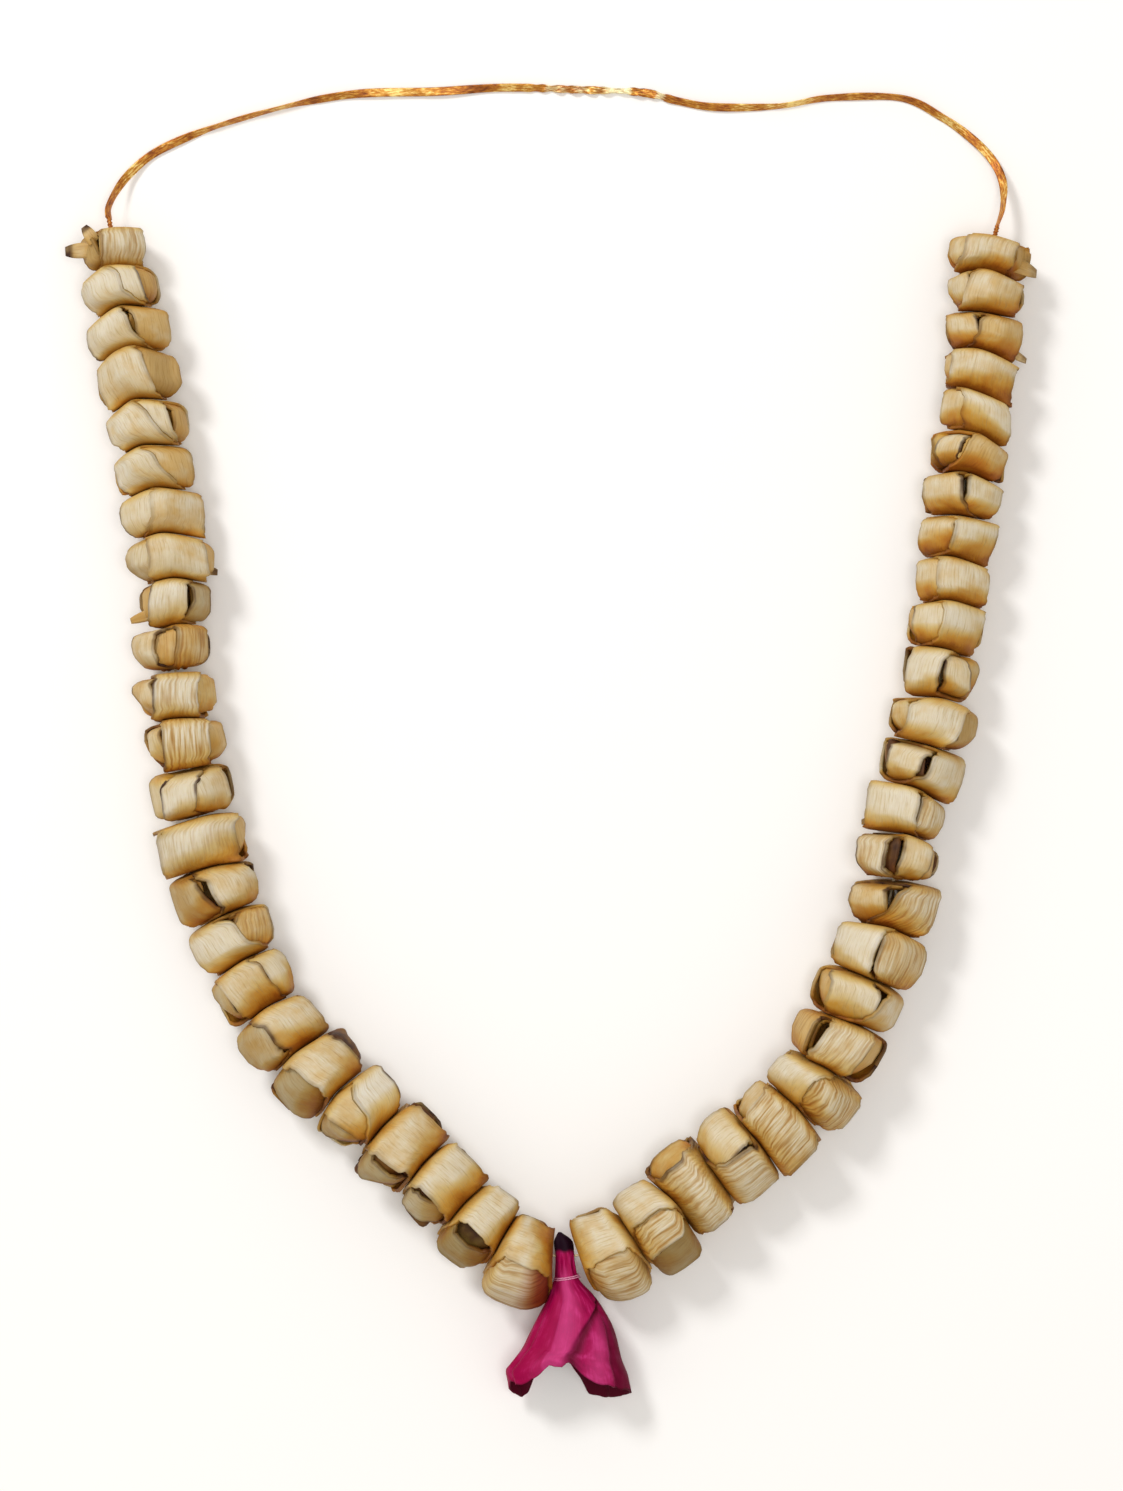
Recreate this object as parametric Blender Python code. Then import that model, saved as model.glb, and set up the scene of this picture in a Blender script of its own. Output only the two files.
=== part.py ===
"""A garland of sandalwood-shaving beads with a dyed flower and a gold neck ribbon, lying on a surface.

Metres, +Z up. The garland lies in the XY plane with its neck end at +Y, its flower at -Y and its beads
resting on z = 0. The origin is under the middle of the beads, thread and flower together.

Each bead is one shaving wound in two crossing turns over the two ends that the thread pierces. A turn is
a closed band. The bands are shaped in the bead's own space: along the thread, towards the inside of the
loop, and up. That space is then laid along the bending thread, between the faces that a bead shares with
its neighbours, so beads nest against each other and never cross.
"""

import math
import random

import bmesh
import bpy
import numpy as np
from mathutils import Vector

MM = 0.001

# The shaving, the thread and the ribbon.
SHAVING_THICKNESS = 0.9 * MM
THREAD_DIAMETER = 1.0 * MM
THREAD_HOLE_WIDTH = 2.2 * MM
THREAD_POINTS = 70
RIBBON_WIDTH = 3.0 * MM
RIBBON_GAP = 0.35 * MM
RIBBON_STEP = 8.4 * MM
BEAD_GAP = 0.4 * MM

# The thread's height over the surface: at its two upper ends, and at the flower, where beads are bigger.
THREAD_HEIGHT_AT_ENDS = 12.0 * MM
THREAD_HEIGHT_AT_FLOWER = 15.5 * MM
THREAD_FALL_SHAPE = 0.8
# The thread bends less sharply than its beads are placed: the knots are softened this many times.
THREAD_SOFTENING = 2
THREAD_STEP = 0.5 * MM
CURVE_SAMPLES = 24

# How round a turn is seen from the side: 2 is an ellipse, and more is squarer.
TURN_SQUARENESS = 2.8
OUTER_TURN_SIDES = 12
INNER_TURN_SIDES = 8
# The inner turn lies this far inside the outer one at the pierced ends. Round the hole, over this width,
# the two are pressed together and held as one by the thread.
TURN_STEP = 1.85 * MM
PRESSED_WIDTH = 3.8 * MM

# Where the flower's neck is, and the thread that it takes up on its way to each neighbour bead.
NECK_AT = (6.2 * MM, -156.2 * MM)
NECK_TO_LEFT = 4.9 * MM
NECK_TO_RIGHT = 3.9 * MM

# How far a face shared by two beads may lean, inward and up, and how the faces at the two strands' ends
# lean inward: above the top left bead, beside the flower, and above the top right bead.
FACE_LEAN_IN = 0.12
FACE_LEAN_UP = 0.15
TOP_LEFT_LEAN = 0.05
FLOWER_LEAN = -0.22
TOP_RIGHT_LEAN = -0.04

# How much a turn may differ from its form in the way it faces and in its slant, both in degrees, and in
# its width; and a bead's height over the thread as a part of its radius.
FACING_VARIES = 8
SLANT_VARIES = 5
WIDTH_VARIES = (0.94, 1.05)
HEIGHT_VARIES = (0.93, 1.04)
BEAD_SEED = 49

# The thread's two ends, from the middles of the two top beads, and how far those beads' upper faces are.
TOP_LEFT_END = (-1.6 * MM, 8.0 * MM)
TOP_RIGHT_END = (2.6 * MM, 8.4 * MM)
TOP_BEAD_HALF_LENGTH = 7.2 * MM

# Faces whose directions differ less than this are one face, in radians.
FLAT_ENOUGH = 0.002

# The whole layout moves by this, so that the origin is under the middle of what isn't ribbon.
CENTRE_SHIFT = (-2.26 * MM, -1.24 * MM)

# Beads in thread order: centre x and y in mm, width across the strand in mm, form of its turns, and the
# side its mouth, flap or upper lobe is on (+1 towards the inside of the loop).
LEFT_BEADS = [
    (-151, 197, 23, "flap", -1),
    (-149, 183, 27.5, "lobes", -1),
    (-146, 168.5, 30, "lobes", 1),
    (-142.5, 151.5, 30, "flap", 1),
    (-139, 134, 29, "cross", -1),
    (-137, 119, 28.5, "lobes", -1),
    (-134, 105, 29.5, "lobes", 1),
    (-131, 88.5, 31, "flap", -1),
    (-129.5, 72.5, 25.5, "mouth", 1),
    (-131, 56, 27.5, "lobes", -1),
    (-129.5, 40, 30, "mouth", -1),
    (-126, 24, 28.5, "mouth", 1),
    (-123.5, 6.5, 29, "cross", 1),
    (-120.5, -10.5, 33, "mouth", -1),
    (-115.5, -27, 31, "lobes", 1),
    (-109.5, -43.5, 30.5, "cross", -1),
    (-102.5, -59.5, 29.5, "lobes", -1),
    (-93, -76, 31, "mouth", -1),
    (-80, -90, 34, "mouth", -1),
    (-65.5, -103, 32.5, "cross", -1),
    (-52, -116.5, 34, "mouth", -1),
    (-38, -129, 31, "mouth", -1),
    (-23.5, -144, 32, "mouth", -1),
    (-8.5, -156, 32.5, "mouth", -1),
]
RIGHT_BEADS = [
    (21.5, -153.5, 34, "mouth", -1),
    (37.5, -143.5, 35, "cross", -1),
    (50.5, -129, 33, "band", 1),
    (64.5, -118.5, 33, "lobes", -1),
    (79.5, -108, 32, "band", -1),
    (92, -95.5, 34, "flap", -1),
    (99.5, -80, 33.5, "mouth", 1),
    (106.5, -64.5, 32.5, "lobes", 1),
    (114, -49, 33.5, "flap", -1),
    (119, -32.5, 32, "lobes", 1),
    (120.5, -15, 30.5, "lobes", -1),
    (123, 1, 29, "mouth", -1),
    (129, 14.5, 30, "mouth", 1),
    (133, 30.5, 31.5, "mouth", -1),
    (135.5, 48, 27, "cross", 1),
    (137.5, 65, 26.5, "flap", 1),
    (139.5, 80, 26, "band", 1),
    (141.5, 95, 28, "mouth", 1),
    (143, 110, 28.5, "lobes", -1),
    (145.5, 124.5, 27.5, "lobes", 1),
    (148, 137.5, 25.5, "band", 1),
    (149.5, 151, 25.5, "band", -1),
    (150.5, 166, 27.5, "lobes", 1),
    (151.5, 180.5, 27.5, "cross", -1),
    (152.5, 193.5, 29, "flap", -1),
]

# The outer and inner turn of each form, for a bead whose radius is 1: the way the turn's first leg faces,
# in degrees from straight up towards the bead's side; the reach of its first and second leg; the strip's
# width and its shift along that width; the slant between the two ends of the first leg, in degrees; and
# how much the first leg's edge on the bead's side flares out and leans along the thread.
FORMS = {
    "mouth": (
        dict(at=-20, first=1.0, second=1.0, width=1.3, shift=-0.16, slant=-4, flare=0.06, tilt=0.0),
        dict(at=45, first=0.95, second=0.86, width=1.1, shift=0.0, slant=6, flare=0.04, tilt=0.0),
    ),
    "band": (
        dict(at=0, first=1.0, second=1.0, width=1.6, shift=-0.1, slant=5, flare=0.04, tilt=0.0),
        dict(at=66, first=0.96, second=0.8, width=1.0, shift=0.0, slant=-6, flare=0.0, tilt=0.0),
    ),
    "lobes": (
        dict(at=-33, first=1.0, second=1.0, width=1.2, shift=0.04, slant=12, flare=0.05, tilt=0.08),
        dict(at=40, first=0.94, second=0.93, width=1.1, shift=0.0, slant=-8, flare=0.0, tilt=-0.05),
    ),
    "cross": (
        dict(at=22, first=1.0, second=1.0, width=1.2, shift=-0.04, slant=24, flare=0.1, tilt=0.12),
        dict(at=-50, first=0.9, second=0.92, width=1.1, shift=0.0, slant=-8, flare=0.0, tilt=0.0),
    ),
    "flap": (
        dict(at=-18, first=0.98, second=1.0, width=1.24, shift=-0.1, slant=-8, flare=-0.04, tilt=0.0),
        dict(at=52, first=1.0, second=0.9, width=1.1, shift=0.02, slant=12, flare=0.2, tilt=0.1),
    ),
}

# The forms whose outer turn isn't varied in the way that it faces, so its second leg lies flat.
FLAT_FORMS = ("band",)

# The ribbon's route in mm between the thread's two ends: x, y and height. It drops from the top left bead
# to the surface, lies along it, and comes up again to the top right bead.
RIBBON_ROUTE = [
    (-152.9, 209.5, 10.3),
    (-150.4, 216, 6.4),
    (-146, 222.5, 2.9),
    (-138.2, 229.3, 1.6),
    (-126, 235.2, 1.6),
    (-110, 240.8, 1.6),
    (-88, 246.7, 1.6),
    (-66.2, 250.3, 1.6),
    (-40, 251, 1.6),
    (-15.6, 252.4, 1.6),
    (12, 251.6, 1.6),
    (32.6, 250.7, 1.6),
    (45.4, 247.6, 1.6),
    (58, 245.6, 1.6),
    (80, 245.9, 1.6),
    (98, 248.8, 1.6),
    (123, 248.7, 1.6),
    (137.5, 241.8, 1.6),
    (148, 234.2, 1.7),
    (154.8, 226.6, 3.2),
    (157.9, 218.5, 6.6),
    (157.5, 209.5, 10.3),
]

# The flower's sections along its axis, from its neck: the distance down the axis, then how far it reaches
# to the left and to the right of the axis, and half its height, all in mm.
FLOWER_SECTIONS = [
    (-10.6, 3.3, -2.3, 0.5),
    (-7.6, 4.2, 1.6, 2.4),
    (-3.8, 4.0, 2.4, 3.0),
    (0.0, 3.8, 2.8, 3.3),
    (3.4, 4.0, 3.4, 3.7),
    (6.6, 4.4, 4.9, 4.4),
    (12.5, 6.6, 10.4, 6.8),
    (20.4, 11.2, 15.4, 9.2),
    (28.4, 14.9, 18.0, 10.8),
    (35.0, 18.6, 19.2, 12.0),
    (41.0, 21.6, 21.2, 12.8),
    (46.4, 20.5, 21.5, 13.0),
]
FLOWER_SEGMENTS = 26
# Sections before this one are solid, because the shavings are gathered tight there.
SOLID_SECTIONS = 6
FLOWER_WALL = 0.9 * MM
PLEATS = 5
PLEAT_TURN = 0.6
PLEAT_DEPTH = 0.075
PLEATS_START = 6.6 * MM
# The mouth is cut back between its two lobes by this much, above and below.
MOUTH_AT = 46.4 * MM
MOUTH_ARCH = 11.5 * MM
ARCH_MIDDLE = -2.6 * MM
ARCH_HALF_WIDTH = 10.0 * MM
ARCH_START = 26.0 * MM
ARCH_SHAPE = 0.7
LOBE_CORNER = 3.5 * MM
LOBE_CORNER_SHAPE = 6
# The bell's axis falls to its mouth along this power of the distance down.
DROOP_SHAPE = 1.4

# The tie goes round the flower at this section, this clear of it, and rises to the right.
TIE_SECTION = (5.4, 4.3, 4.4, 4.15)
TIE_SEGMENTS = 14
TIE_SIDES = 6
TIE_GAP = 0.3 * MM
TIE_SLANT = 0.1


def material(name, colour, roughness, metallic=0.0):
    """One Principled material for a sub-part."""
    made = bpy.data.materials.new(name)
    made.use_nodes = True
    surface = made.node_tree.nodes["Principled BSDF"]
    surface.inputs["Base Color"].default_value = (*colour, 1.0)
    surface.inputs["Roughness"].default_value = roughness
    surface.inputs["Metallic"].default_value = metallic
    made.diffuse_color = (*colour, 1.0)
    return made


def add_object(name, mesh, finish=None):
    """A new object in the scene's own collection."""
    made = bpy.data.objects.new(name, mesh)
    bpy.context.scene.collection.objects.link(made)
    if finish is not None:
        mesh.materials.append(finish)
    return made


def mesh_from(name, points, faces):
    """A closed mesh with its faces pointing out."""
    mesh = bpy.data.meshes.new(name)
    mesh.from_pydata([tuple(p) for p in points], [], faces)
    work = bmesh.new()
    work.from_mesh(mesh)
    bmesh.ops.recalc_face_normals(work, faces=work.faces)
    work.to_mesh(mesh)
    work.free()
    return mesh


def smooth_line(knots, step):
    """Points about `step` apart on the Catmull-Rom curve through the knots."""
    knots = np.asarray(knots, float)
    ends = np.vstack([2 * knots[0] - knots[1], knots, 2 * knots[-1] - knots[-2]])
    pieces = []
    for before, start, end, after in zip(ends[:-3], ends[1:-2], ends[2:-1], ends[3:]):
        t = np.linspace(0, 1, CURVE_SAMPLES, endpoint=False)[:, None]
        pieces.append(
            0.5
            * (
                2 * start
                + (end - before) * t
                + (2 * before - 5 * start + 4 * end - after) * t**2
                + (3 * start - before - 3 * end + after) * t**3
            )
        )
    line = np.vstack([*pieces, knots[-1:]])
    along = lengths_along(line)
    places = np.linspace(0, along[-1], max(2, round(along[-1] / step) + 1))
    return np.stack([np.interp(places, along, line[:, k]) for k in range(line.shape[1])], axis=1)


def lengths_along(line):
    """The length of the line up to each of its points."""
    return np.concatenate([[0.0], np.cumsum(np.linalg.norm(np.diff(line, axis=0), axis=1))])


def softened(points, rounds):
    """The points with each one drawn halfway to the middle of its neighbours, some times over."""
    points = np.array(points, float)
    for _ in range(rounds):
        points[1:-1] = 0.5 * points[1:-1] + 0.25 * (points[:-2] + points[2:])
    return points


class Thread:
    """The thread's smooth route, and the space laid along it."""

    def __init__(self):
        left = [(x * MM, y * MM) for x, y, *_ in LEFT_BEADS]
        right = [(x * MM, y * MM) for x, y, *_ in RIGHT_BEADS]
        first = (left[0][0] + TOP_LEFT_END[0], left[0][1] + TOP_LEFT_END[1])
        last = (right[-1][0] + TOP_RIGHT_END[0], right[-1][1] + TOP_RIGHT_END[1])
        knots = softened([first, *left, NECK_AT, *right, last], THREAD_SOFTENING) + np.array(CENTRE_SHIFT)
        self.line = smooth_line(knots, THREAD_STEP)
        self.along = lengths_along(self.line)
        # Each knot's place along the line is that of the nearest point of the line.
        self.stations = [
            self.along[np.argmin(np.linalg.norm(self.line - knot, axis=1))] for knot in knots
        ]
        self.neck = self.stations[len(left) + 1]
        ahead = np.gradient(self.line, axis=0)
        self.ahead = ahead / np.linalg.norm(ahead, axis=1)[:, None]

    def height(self, s):
        """The thread's height over the surface: least at its ends and greatest at the flower."""
        from_flower = np.abs(s - self.neck) / np.maximum(self.neck, self.along[-1] - self.neck)
        rise = THREAD_HEIGHT_AT_FLOWER - THREAD_HEIGHT_AT_ENDS
        return THREAD_HEIGHT_AT_FLOWER - rise * np.clip(from_flower, 0, 1) ** THREAD_FALL_SHAPE

    def place(self, s, inward, up):
        """The world points at distance s along the thread, offset inward and up from it."""
        s = np.asarray(s, float)
        x = np.interp(s, self.along, self.line[:, 0])
        y = np.interp(s, self.along, self.line[:, 1])
        ahead_x = np.interp(s, self.along, self.ahead[:, 0])
        ahead_y = np.interp(s, self.along, self.ahead[:, 1])
        return np.stack([x - inward * ahead_y, y + inward * ahead_x, self.height(s) + up], axis=-1)


class SharedFace:
    """The flat face that two neighbour beads meet on, leant a little off square to the thread."""

    def __init__(self, station, lean_in, lean_up):
        self.station = station
        self.lean_in = lean_in
        self.lean_up = lean_up

    def at(self, inward, up):
        """The distance along the thread of the face, for offsets inward and up."""
        return self.station + self.lean_in * inward + self.lean_up * up


def turn_surface(turn, sides, side, half_length):
    """The middle surface of one turn, for radius 1: an array of points round the turn by strip edge.

    The turn's side view is a squared ellipse, flat where the thread pierces it, and the strip runs
    straight across its width. The last axis is along the thread (in real size), inward and up.
    """
    angle = (np.arange(sides) + 0.5) * 2 * math.pi / sides
    cosine = np.cos(angle)
    sine = np.sin(angle)
    out = np.sign(cosine) * np.abs(cosine) ** (2 / TURN_SQUARENESS)
    along = np.sign(sine) * np.abs(sine) ** (2 / TURN_SQUARENESS)
    out = out / out.max() * np.where(cosine > 0, turn["first"], turn["second"])
    along = along / along.max()
    # How far out on the first leg each point is: nothing on the flat pierced ends, and 1 at its middle.
    flat_end = math.cos(angle[sides // 4 - 1])
    first_leg = np.clip((cosine - flat_end) / (1 - flat_end), 0, 1)
    facing = side * np.radians(turn["at"] + turn["slant"] * sine * first_leg)
    points = np.zeros((sides, 2, 3))
    for edge, sign in enumerate((-1, 1)):
        strip = side * (turn["shift"] + sign * turn["width"] / 2)
        opened = out * (1 + turn["flare"] * first_leg * sign)
        points[:, edge, 0] = half_length * (along + turn["tilt"] * first_leg**2 * sign * side)
        points[:, edge, 1] = opened * np.sin(facing) + strip * np.cos(facing)
        points[:, edge, 2] = opened * np.cos(facing) - strip * np.sin(facing)
    return points


def fitted(turns, inner_reach, outer_reach, above, below):
    """The turns scaled to their reach inward, outward, up and down, each side by itself."""
    every = np.concatenate([t.reshape(-1, 3) for t in turns])
    for axis, more, less in ((1, inner_reach, outer_reach), (2, above, below)):
        high = more / every[:, axis].max()
        low = less / -every[:, axis].min()
        for points in turns:
            value = points[:, :, axis]
            points[:, :, axis] = np.where(value > 0, value * high, value * low)


def thick_band(name, middle):
    """A closed band of the shaving's thickness about a middle surface."""
    round_it = np.roll(middle, -1, axis=0) - np.roll(middle, 1, axis=0)
    across = (middle[:, 1] - middle[:, 0])[:, None, :]
    normal = np.cross(round_it, across)
    normal /= np.linalg.norm(normal, axis=2)[:, :, None]
    outside = middle + normal * SHAVING_THICKNESS / 2
    inside = middle - normal * SHAVING_THICKNESS / 2
    points = np.concatenate([outside.reshape(-1, 3), inside.reshape(-1, 3)])
    faces = []
    sides = len(middle)
    under = 2 * sides
    for k in range(sides):
        a, b = 2 * k, 2 * k + 1
        c, d = 2 * ((k + 1) % sides) + 1, 2 * ((k + 1) % sides)
        faces += [(a, b, c), (a, c, d)]
        faces += [(a + under, c + under, b + under), (a + under, d + under, c + under)]
        faces += [(a, d, d + under, a + under), (b, b + under, c + under, c)]
    return mesh_from(name, points, faces)


def square_bar(name, start, end, width):
    """A straight square bar between two points, as a new object."""
    axis = Vector(end) - Vector(start)
    mesh = bpy.data.meshes.new(name)
    work = bmesh.new()
    bmesh.ops.create_cube(work, size=1.0)
    bmesh.ops.scale(work, vec=(width, width, axis.length), verts=work.verts)
    turned = axis.to_track_quat("Z", "Y").to_matrix().to_4x4()
    bmesh.ops.transform(work, matrix=turned, verts=work.verts)
    bmesh.ops.translate(work, vec=(Vector(start) + Vector(end)) / 2, verts=work.verts)
    work.to_mesh(mesh)
    work.free()
    return add_object(name, mesh)


def combined(body, joined=(), cut=()):
    """The body's mesh with other objects joined to it and cut from it; all the objects are removed."""
    for operation, tools in (("UNION", joined), ("DIFFERENCE", cut)):
        if not tools:
            continue
        group = bpy.data.collections.new(operation.lower())
        for tool in tools:
            group.objects.link(tool)
        step = body.modifiers.new(operation.lower(), "BOOLEAN")
        step.operation = operation
        step.solver = "EXACT"
        step.operand_type = "COLLECTION"
        step.collection = group
    depsgraph = bpy.context.evaluated_depsgraph_get()
    mesh = bpy.data.meshes.new_from_object(body.evaluated_get(depsgraph))
    for used in (body, *joined, *cut):
        bpy.data.objects.remove(used)
    for group in list(bpy.data.collections):
        bpy.data.collections.remove(group)
    return mesh


def in_triangles(mesh):
    """The mesh in triangles, by the first way of splitting its faces that leaves it closed, or None.

    Flat areas are merged first where that works. A way fails where it joins two points that an edge
    joins already, and all fail where two turns only touch along an edge.
    """
    for merge_flat, split in ((True, "BEAUTY"), (True, "EAR_CLIP"), (False, "BEAUTY"), (False, "EAR_CLIP")):
        work = bmesh.new()
        work.from_mesh(mesh)
        if merge_flat:
            bmesh.ops.dissolve_limit(work, angle_limit=FLAT_ENOUGH, verts=work.verts, edges=work.edges)
        bmesh.ops.triangulate(work, faces=work.faces, ngon_method=split)
        if all(len(edge.link_faces) == 2 for edge in work.edges):
            return work
        work.free()
    return None


def wound(form, side, reaches, plate, draw):
    """A bead's solid in its own space, in triangles: its two turns, pressed together round the hole.

    Each turn varies a little from its form. The result is None where the turns only touch along an edge.
    """
    turns = []
    for turn, sides, step in zip(FORMS[form], (OUTER_TURN_SIDES, INNER_TURN_SIDES), (0, TURN_STEP)):
        varied = dict(turn)
        if form not in FLAT_FORMS or step:
            varied["at"] += draw.uniform(-FACING_VARIES, FACING_VARIES)
        varied["slant"] += draw.uniform(-SLANT_VARIES, SLANT_VARIES)
        varied["width"] *= draw.uniform(*WIDTH_VARIES)
        turns.append(turn_surface(varied, sides, side, plate - step))
    fitted(turns, *reaches)
    outer = add_object("outer_turn", thick_band("outer_turn", turns[0]))
    inner = add_object("inner_turn", thick_band("inner_turn", turns[1]))
    pressed = [
        square_bar("pressed", (end * (plate - TURN_STEP), 0, 0), (end * plate, 0, 0), PRESSED_WIDTH)
        for end in (-1, 1)
    ]
    hole = square_bar("hole", (-2 * plate, 0, 0), (2 * plate, 0, 0), THREAD_HOLE_WIDTH)
    return in_triangles(combined(outer, joined=[inner, *pressed], cut=[hole]))


def make_bead(name, thread, station, row, low_face, high_face, draw, finish):
    """One wound bead, shaped in its own space and laid along the thread between its two faces."""
    x, y, width, form, side = row
    on_thread = thread.place(station, 0.0, 0.0)
    inward_way = thread.place(station, 1.0, 0.0) - on_thread
    centre = np.array([x * MM + CENTRE_SHIFT[0], y * MM + CENTRE_SHIFT[1], on_thread[2]])
    offset = float((centre - on_thread) @ inward_way)
    wall = SHAVING_THICKNESS / 2
    radius = width * MM / 2
    half_length = (high_face.station - low_face.station) / 2
    above = radius * draw.uniform(*HEIGHT_VARIES)
    below = float(thread.height(station))
    reaches = (radius + offset - wall, radius - offset - wall, above - wall, below - wall)
    work = None
    while work is None:
        work = wound(form, side, reaches, half_length - BEAD_GAP / 2 - wall, draw)
    points = np.array([v.co for v in work.verts])
    deepest = -points[:, 2].min()
    for vert, (along, inward, up) in zip(work.verts, points):
        low = low_face.at(inward, up)
        high = high_face.at(inward, up)
        s = low + (high - low) * (along / half_length + 1) / 2
        drop = up if up > 0 else up * float(thread.height(s)) / deepest
        vert.co = thread.place(s, inward, drop)
    bmesh.ops.recalc_face_normals(work, faces=work.faces)
    mesh = bpy.data.meshes.new(name)
    work.to_mesh(mesh)
    work.free()
    add_object(name, mesh, finish)


def make_beads(thread, finish):
    """All the beads of both strands, with the faces that neighbours share."""
    draw = random.Random(BEAD_SEED)
    rows = LEFT_BEADS + RIGHT_BEADS
    count = len(LEFT_BEADS)
    names = [f"bead_left_{i + 1:02d}" for i in range(count)]
    names += [f"bead_right_{i + 1:02d}" for i in range(len(RIGHT_BEADS))]
    stations = thread.stations[1 : count + 1] + thread.stations[count + 2 : -1]

    def varied_face(station):
        lean_in = draw.uniform(-FACE_LEAN_IN, FACE_LEAN_IN)
        lean_up = draw.uniform(-FACE_LEAN_UP, FACE_LEAN_UP)
        return SharedFace(station, lean_in, lean_up)

    low_faces = []
    high_faces = []
    for i, station in enumerate(stations):
        if i == 0:
            low_faces.append(SharedFace(station - TOP_BEAD_HALF_LENGTH, TOP_LEFT_LEAN, 0))
        elif i == count:
            low_faces.append(SharedFace(thread.neck + NECK_TO_RIGHT, FLOWER_LEAN, 0))
        else:
            low_faces.append(high_faces[-1])
        if i == count - 1:
            high_faces.append(SharedFace(thread.neck - NECK_TO_LEFT, 0, 0))
        elif i == len(stations) - 1:
            high_faces.append(SharedFace(station + TOP_BEAD_HALF_LENGTH, TOP_RIGHT_LEAN, 0))
        else:
            high_faces.append(varied_face((station + stations[i + 1]) / 2))
    for name, station, row, low, high in zip(names, stations, rows, low_faces, high_faces):
        make_bead(name, thread, station, row, low, high, draw, finish)


def tube(name, points, radius, resolution, finish):
    """A round tube with closed ends along a line of points."""
    curve = bpy.data.curves.new(name, "CURVE")
    curve.dimensions = "3D"
    curve.bevel_depth = radius
    curve.bevel_resolution = resolution
    curve.use_fill_caps = True
    spline = curve.splines.new("POLY")
    spline.points.add(len(points) - 1)
    for point, place in zip(spline.points, points):
        point.co = (*place, 1.0)
    curve.materials.append(finish)
    made = bpy.data.objects.new(name, curve)
    bpy.context.scene.collection.objects.link(made)
    return made


def make_thread(thread, finish):
    """The cotton thread through every bead and the flower's neck."""
    places = np.linspace(0, thread.along[-1], THREAD_POINTS)
    tube("thread", thread.place(places, 0.0, 0.0), THREAD_DIAMETER / 2, 0, finish)


def make_ribbon(thread, finish):
    """The ribbon as a plain tube of its width, from one end of the thread round to the other."""
    ends = thread.place(np.array([0.0, thread.along[-1]]), 0.0, 0.0)
    away = np.array([-thread.ahead[0], thread.ahead[-1]]) * RIBBON_GAP
    ends[:, :2] += away
    inner = np.array(RIBBON_ROUTE) * MM + np.array([*CENTRE_SHIFT, 0.0])
    route = smooth_line(np.vstack([ends[:1], inner, ends[1:]]), RIBBON_STEP)
    tube("neck_ribbon", route, RIBBON_WIDTH / 2, 2, finish)


def flower_ring(section, angle, spread):
    """The points round the flower at one section: across, along the axis, and up from the axis.

    Angle 0 points right and a quarter turn is up. The arch draws the middle of the mouth back along the
    axis, above and below, so that two lobes are left. The outer corners of the lobes are rounded back a
    little, and the pleats grow from nothing at the neck to their full depth at the mouth.
    """
    down, left, right, half_height = (value * MM for value in section)
    grown = np.clip((down - PLEATS_START) / (MOUTH_AT - PLEATS_START), 0, 1)
    pleat = 1 + PLEAT_DEPTH * grown * np.cos(PLEATS * angle + PLEAT_TURN)
    across = (right - left) / 2 + ((left + right) / 2 * pleat + spread) * np.cos(angle)
    up = (half_height * pleat + spread) * np.sin(angle)
    from_middle = np.clip(np.abs(across - ARCH_MIDDLE) / ARCH_HALF_WIDTH, 0, 1)
    drawn_back = MOUTH_ARCH * (1 - from_middle**2) ** ARCH_SHAPE
    drawn_back += LOBE_CORNER * np.cos(angle) ** LOBE_CORNER_SHAPE
    near_mouth = np.clip((down - ARCH_START) / (MOUTH_AT - ARCH_START), 0, 1)
    return np.stack([across, drawn_back * near_mouth - down, up], axis=1)


def drooped(points, root, fall):
    """The flower's points set at its root, its axis falling towards the mouth."""
    down = np.clip(-points[:, 1] / MOUTH_AT, 0, 1)
    placed = points + root
    placed[:, 2] -= fall * down**DROOP_SHAPE
    return placed


def skinned(rings, closed_round):
    """The points and faces of rings joined one to the next, and the last to the first where closed."""
    sides = len(rings[0])
    faces = []
    for ring in range(len(rings) if closed_round else len(rings) - 1):
        after = (ring + 1) % len(rings)
        for k in range(sides):
            a, b = ring * sides + k, ring * sides + (k + 1) % sides
            c, d = after * sides + (k + 1) % sides, after * sides + k
            faces += [(a, b, c), (a, c, d)]
    if not closed_round:
        faces.append(tuple(range(sides)))
        faces.append(tuple(len(rings) * sides - 1 - k for k in range(sides)))
    return np.concatenate(rings), faces


def make_flower(thread, finish, tie_finish):
    """The dyed flower: gathered tip, pierced neck, and a folded bell that lies on the surface."""
    height = float(thread.height(thread.neck))
    root = np.array([NECK_AT[0] + CENTRE_SHIFT[0], NECK_AT[1] + CENTRE_SHIFT[1], height])
    angle = np.arange(FLOWER_SEGMENTS) * 2 * math.pi / FLOWER_SEGMENTS
    outside = [flower_ring(section, angle, 0.0) for section in FLOWER_SECTIONS]
    inside = [flower_ring(section, angle, -FLOWER_WALL) for section in FLOWER_SECTIONS[SOLID_SECTIONS:]]
    points, faces = skinned(outside + inside[::-1], closed_round=False)
    fall = height + points[:, 2].min()
    points = drooped(points, root, fall)
    points[:, 2] = np.maximum(points[:, 2], 0.0)
    body = add_object("flower", mesh_from("flower", points, faces))
    start = thread.place(thread.neck - NECK_TO_LEFT, 0.0, 0.0)
    end = thread.place(thread.neck + NECK_TO_LEFT, 0.0, 0.0)
    hole = square_bar("neck_hole", start, end, THREAD_HOLE_WIDTH)
    mesh = combined(body, cut=[hole])
    mesh.name = "flower_bell"
    add_object("flower_bell", mesh, finish)
    make_tie(root, fall, tie_finish)


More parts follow.
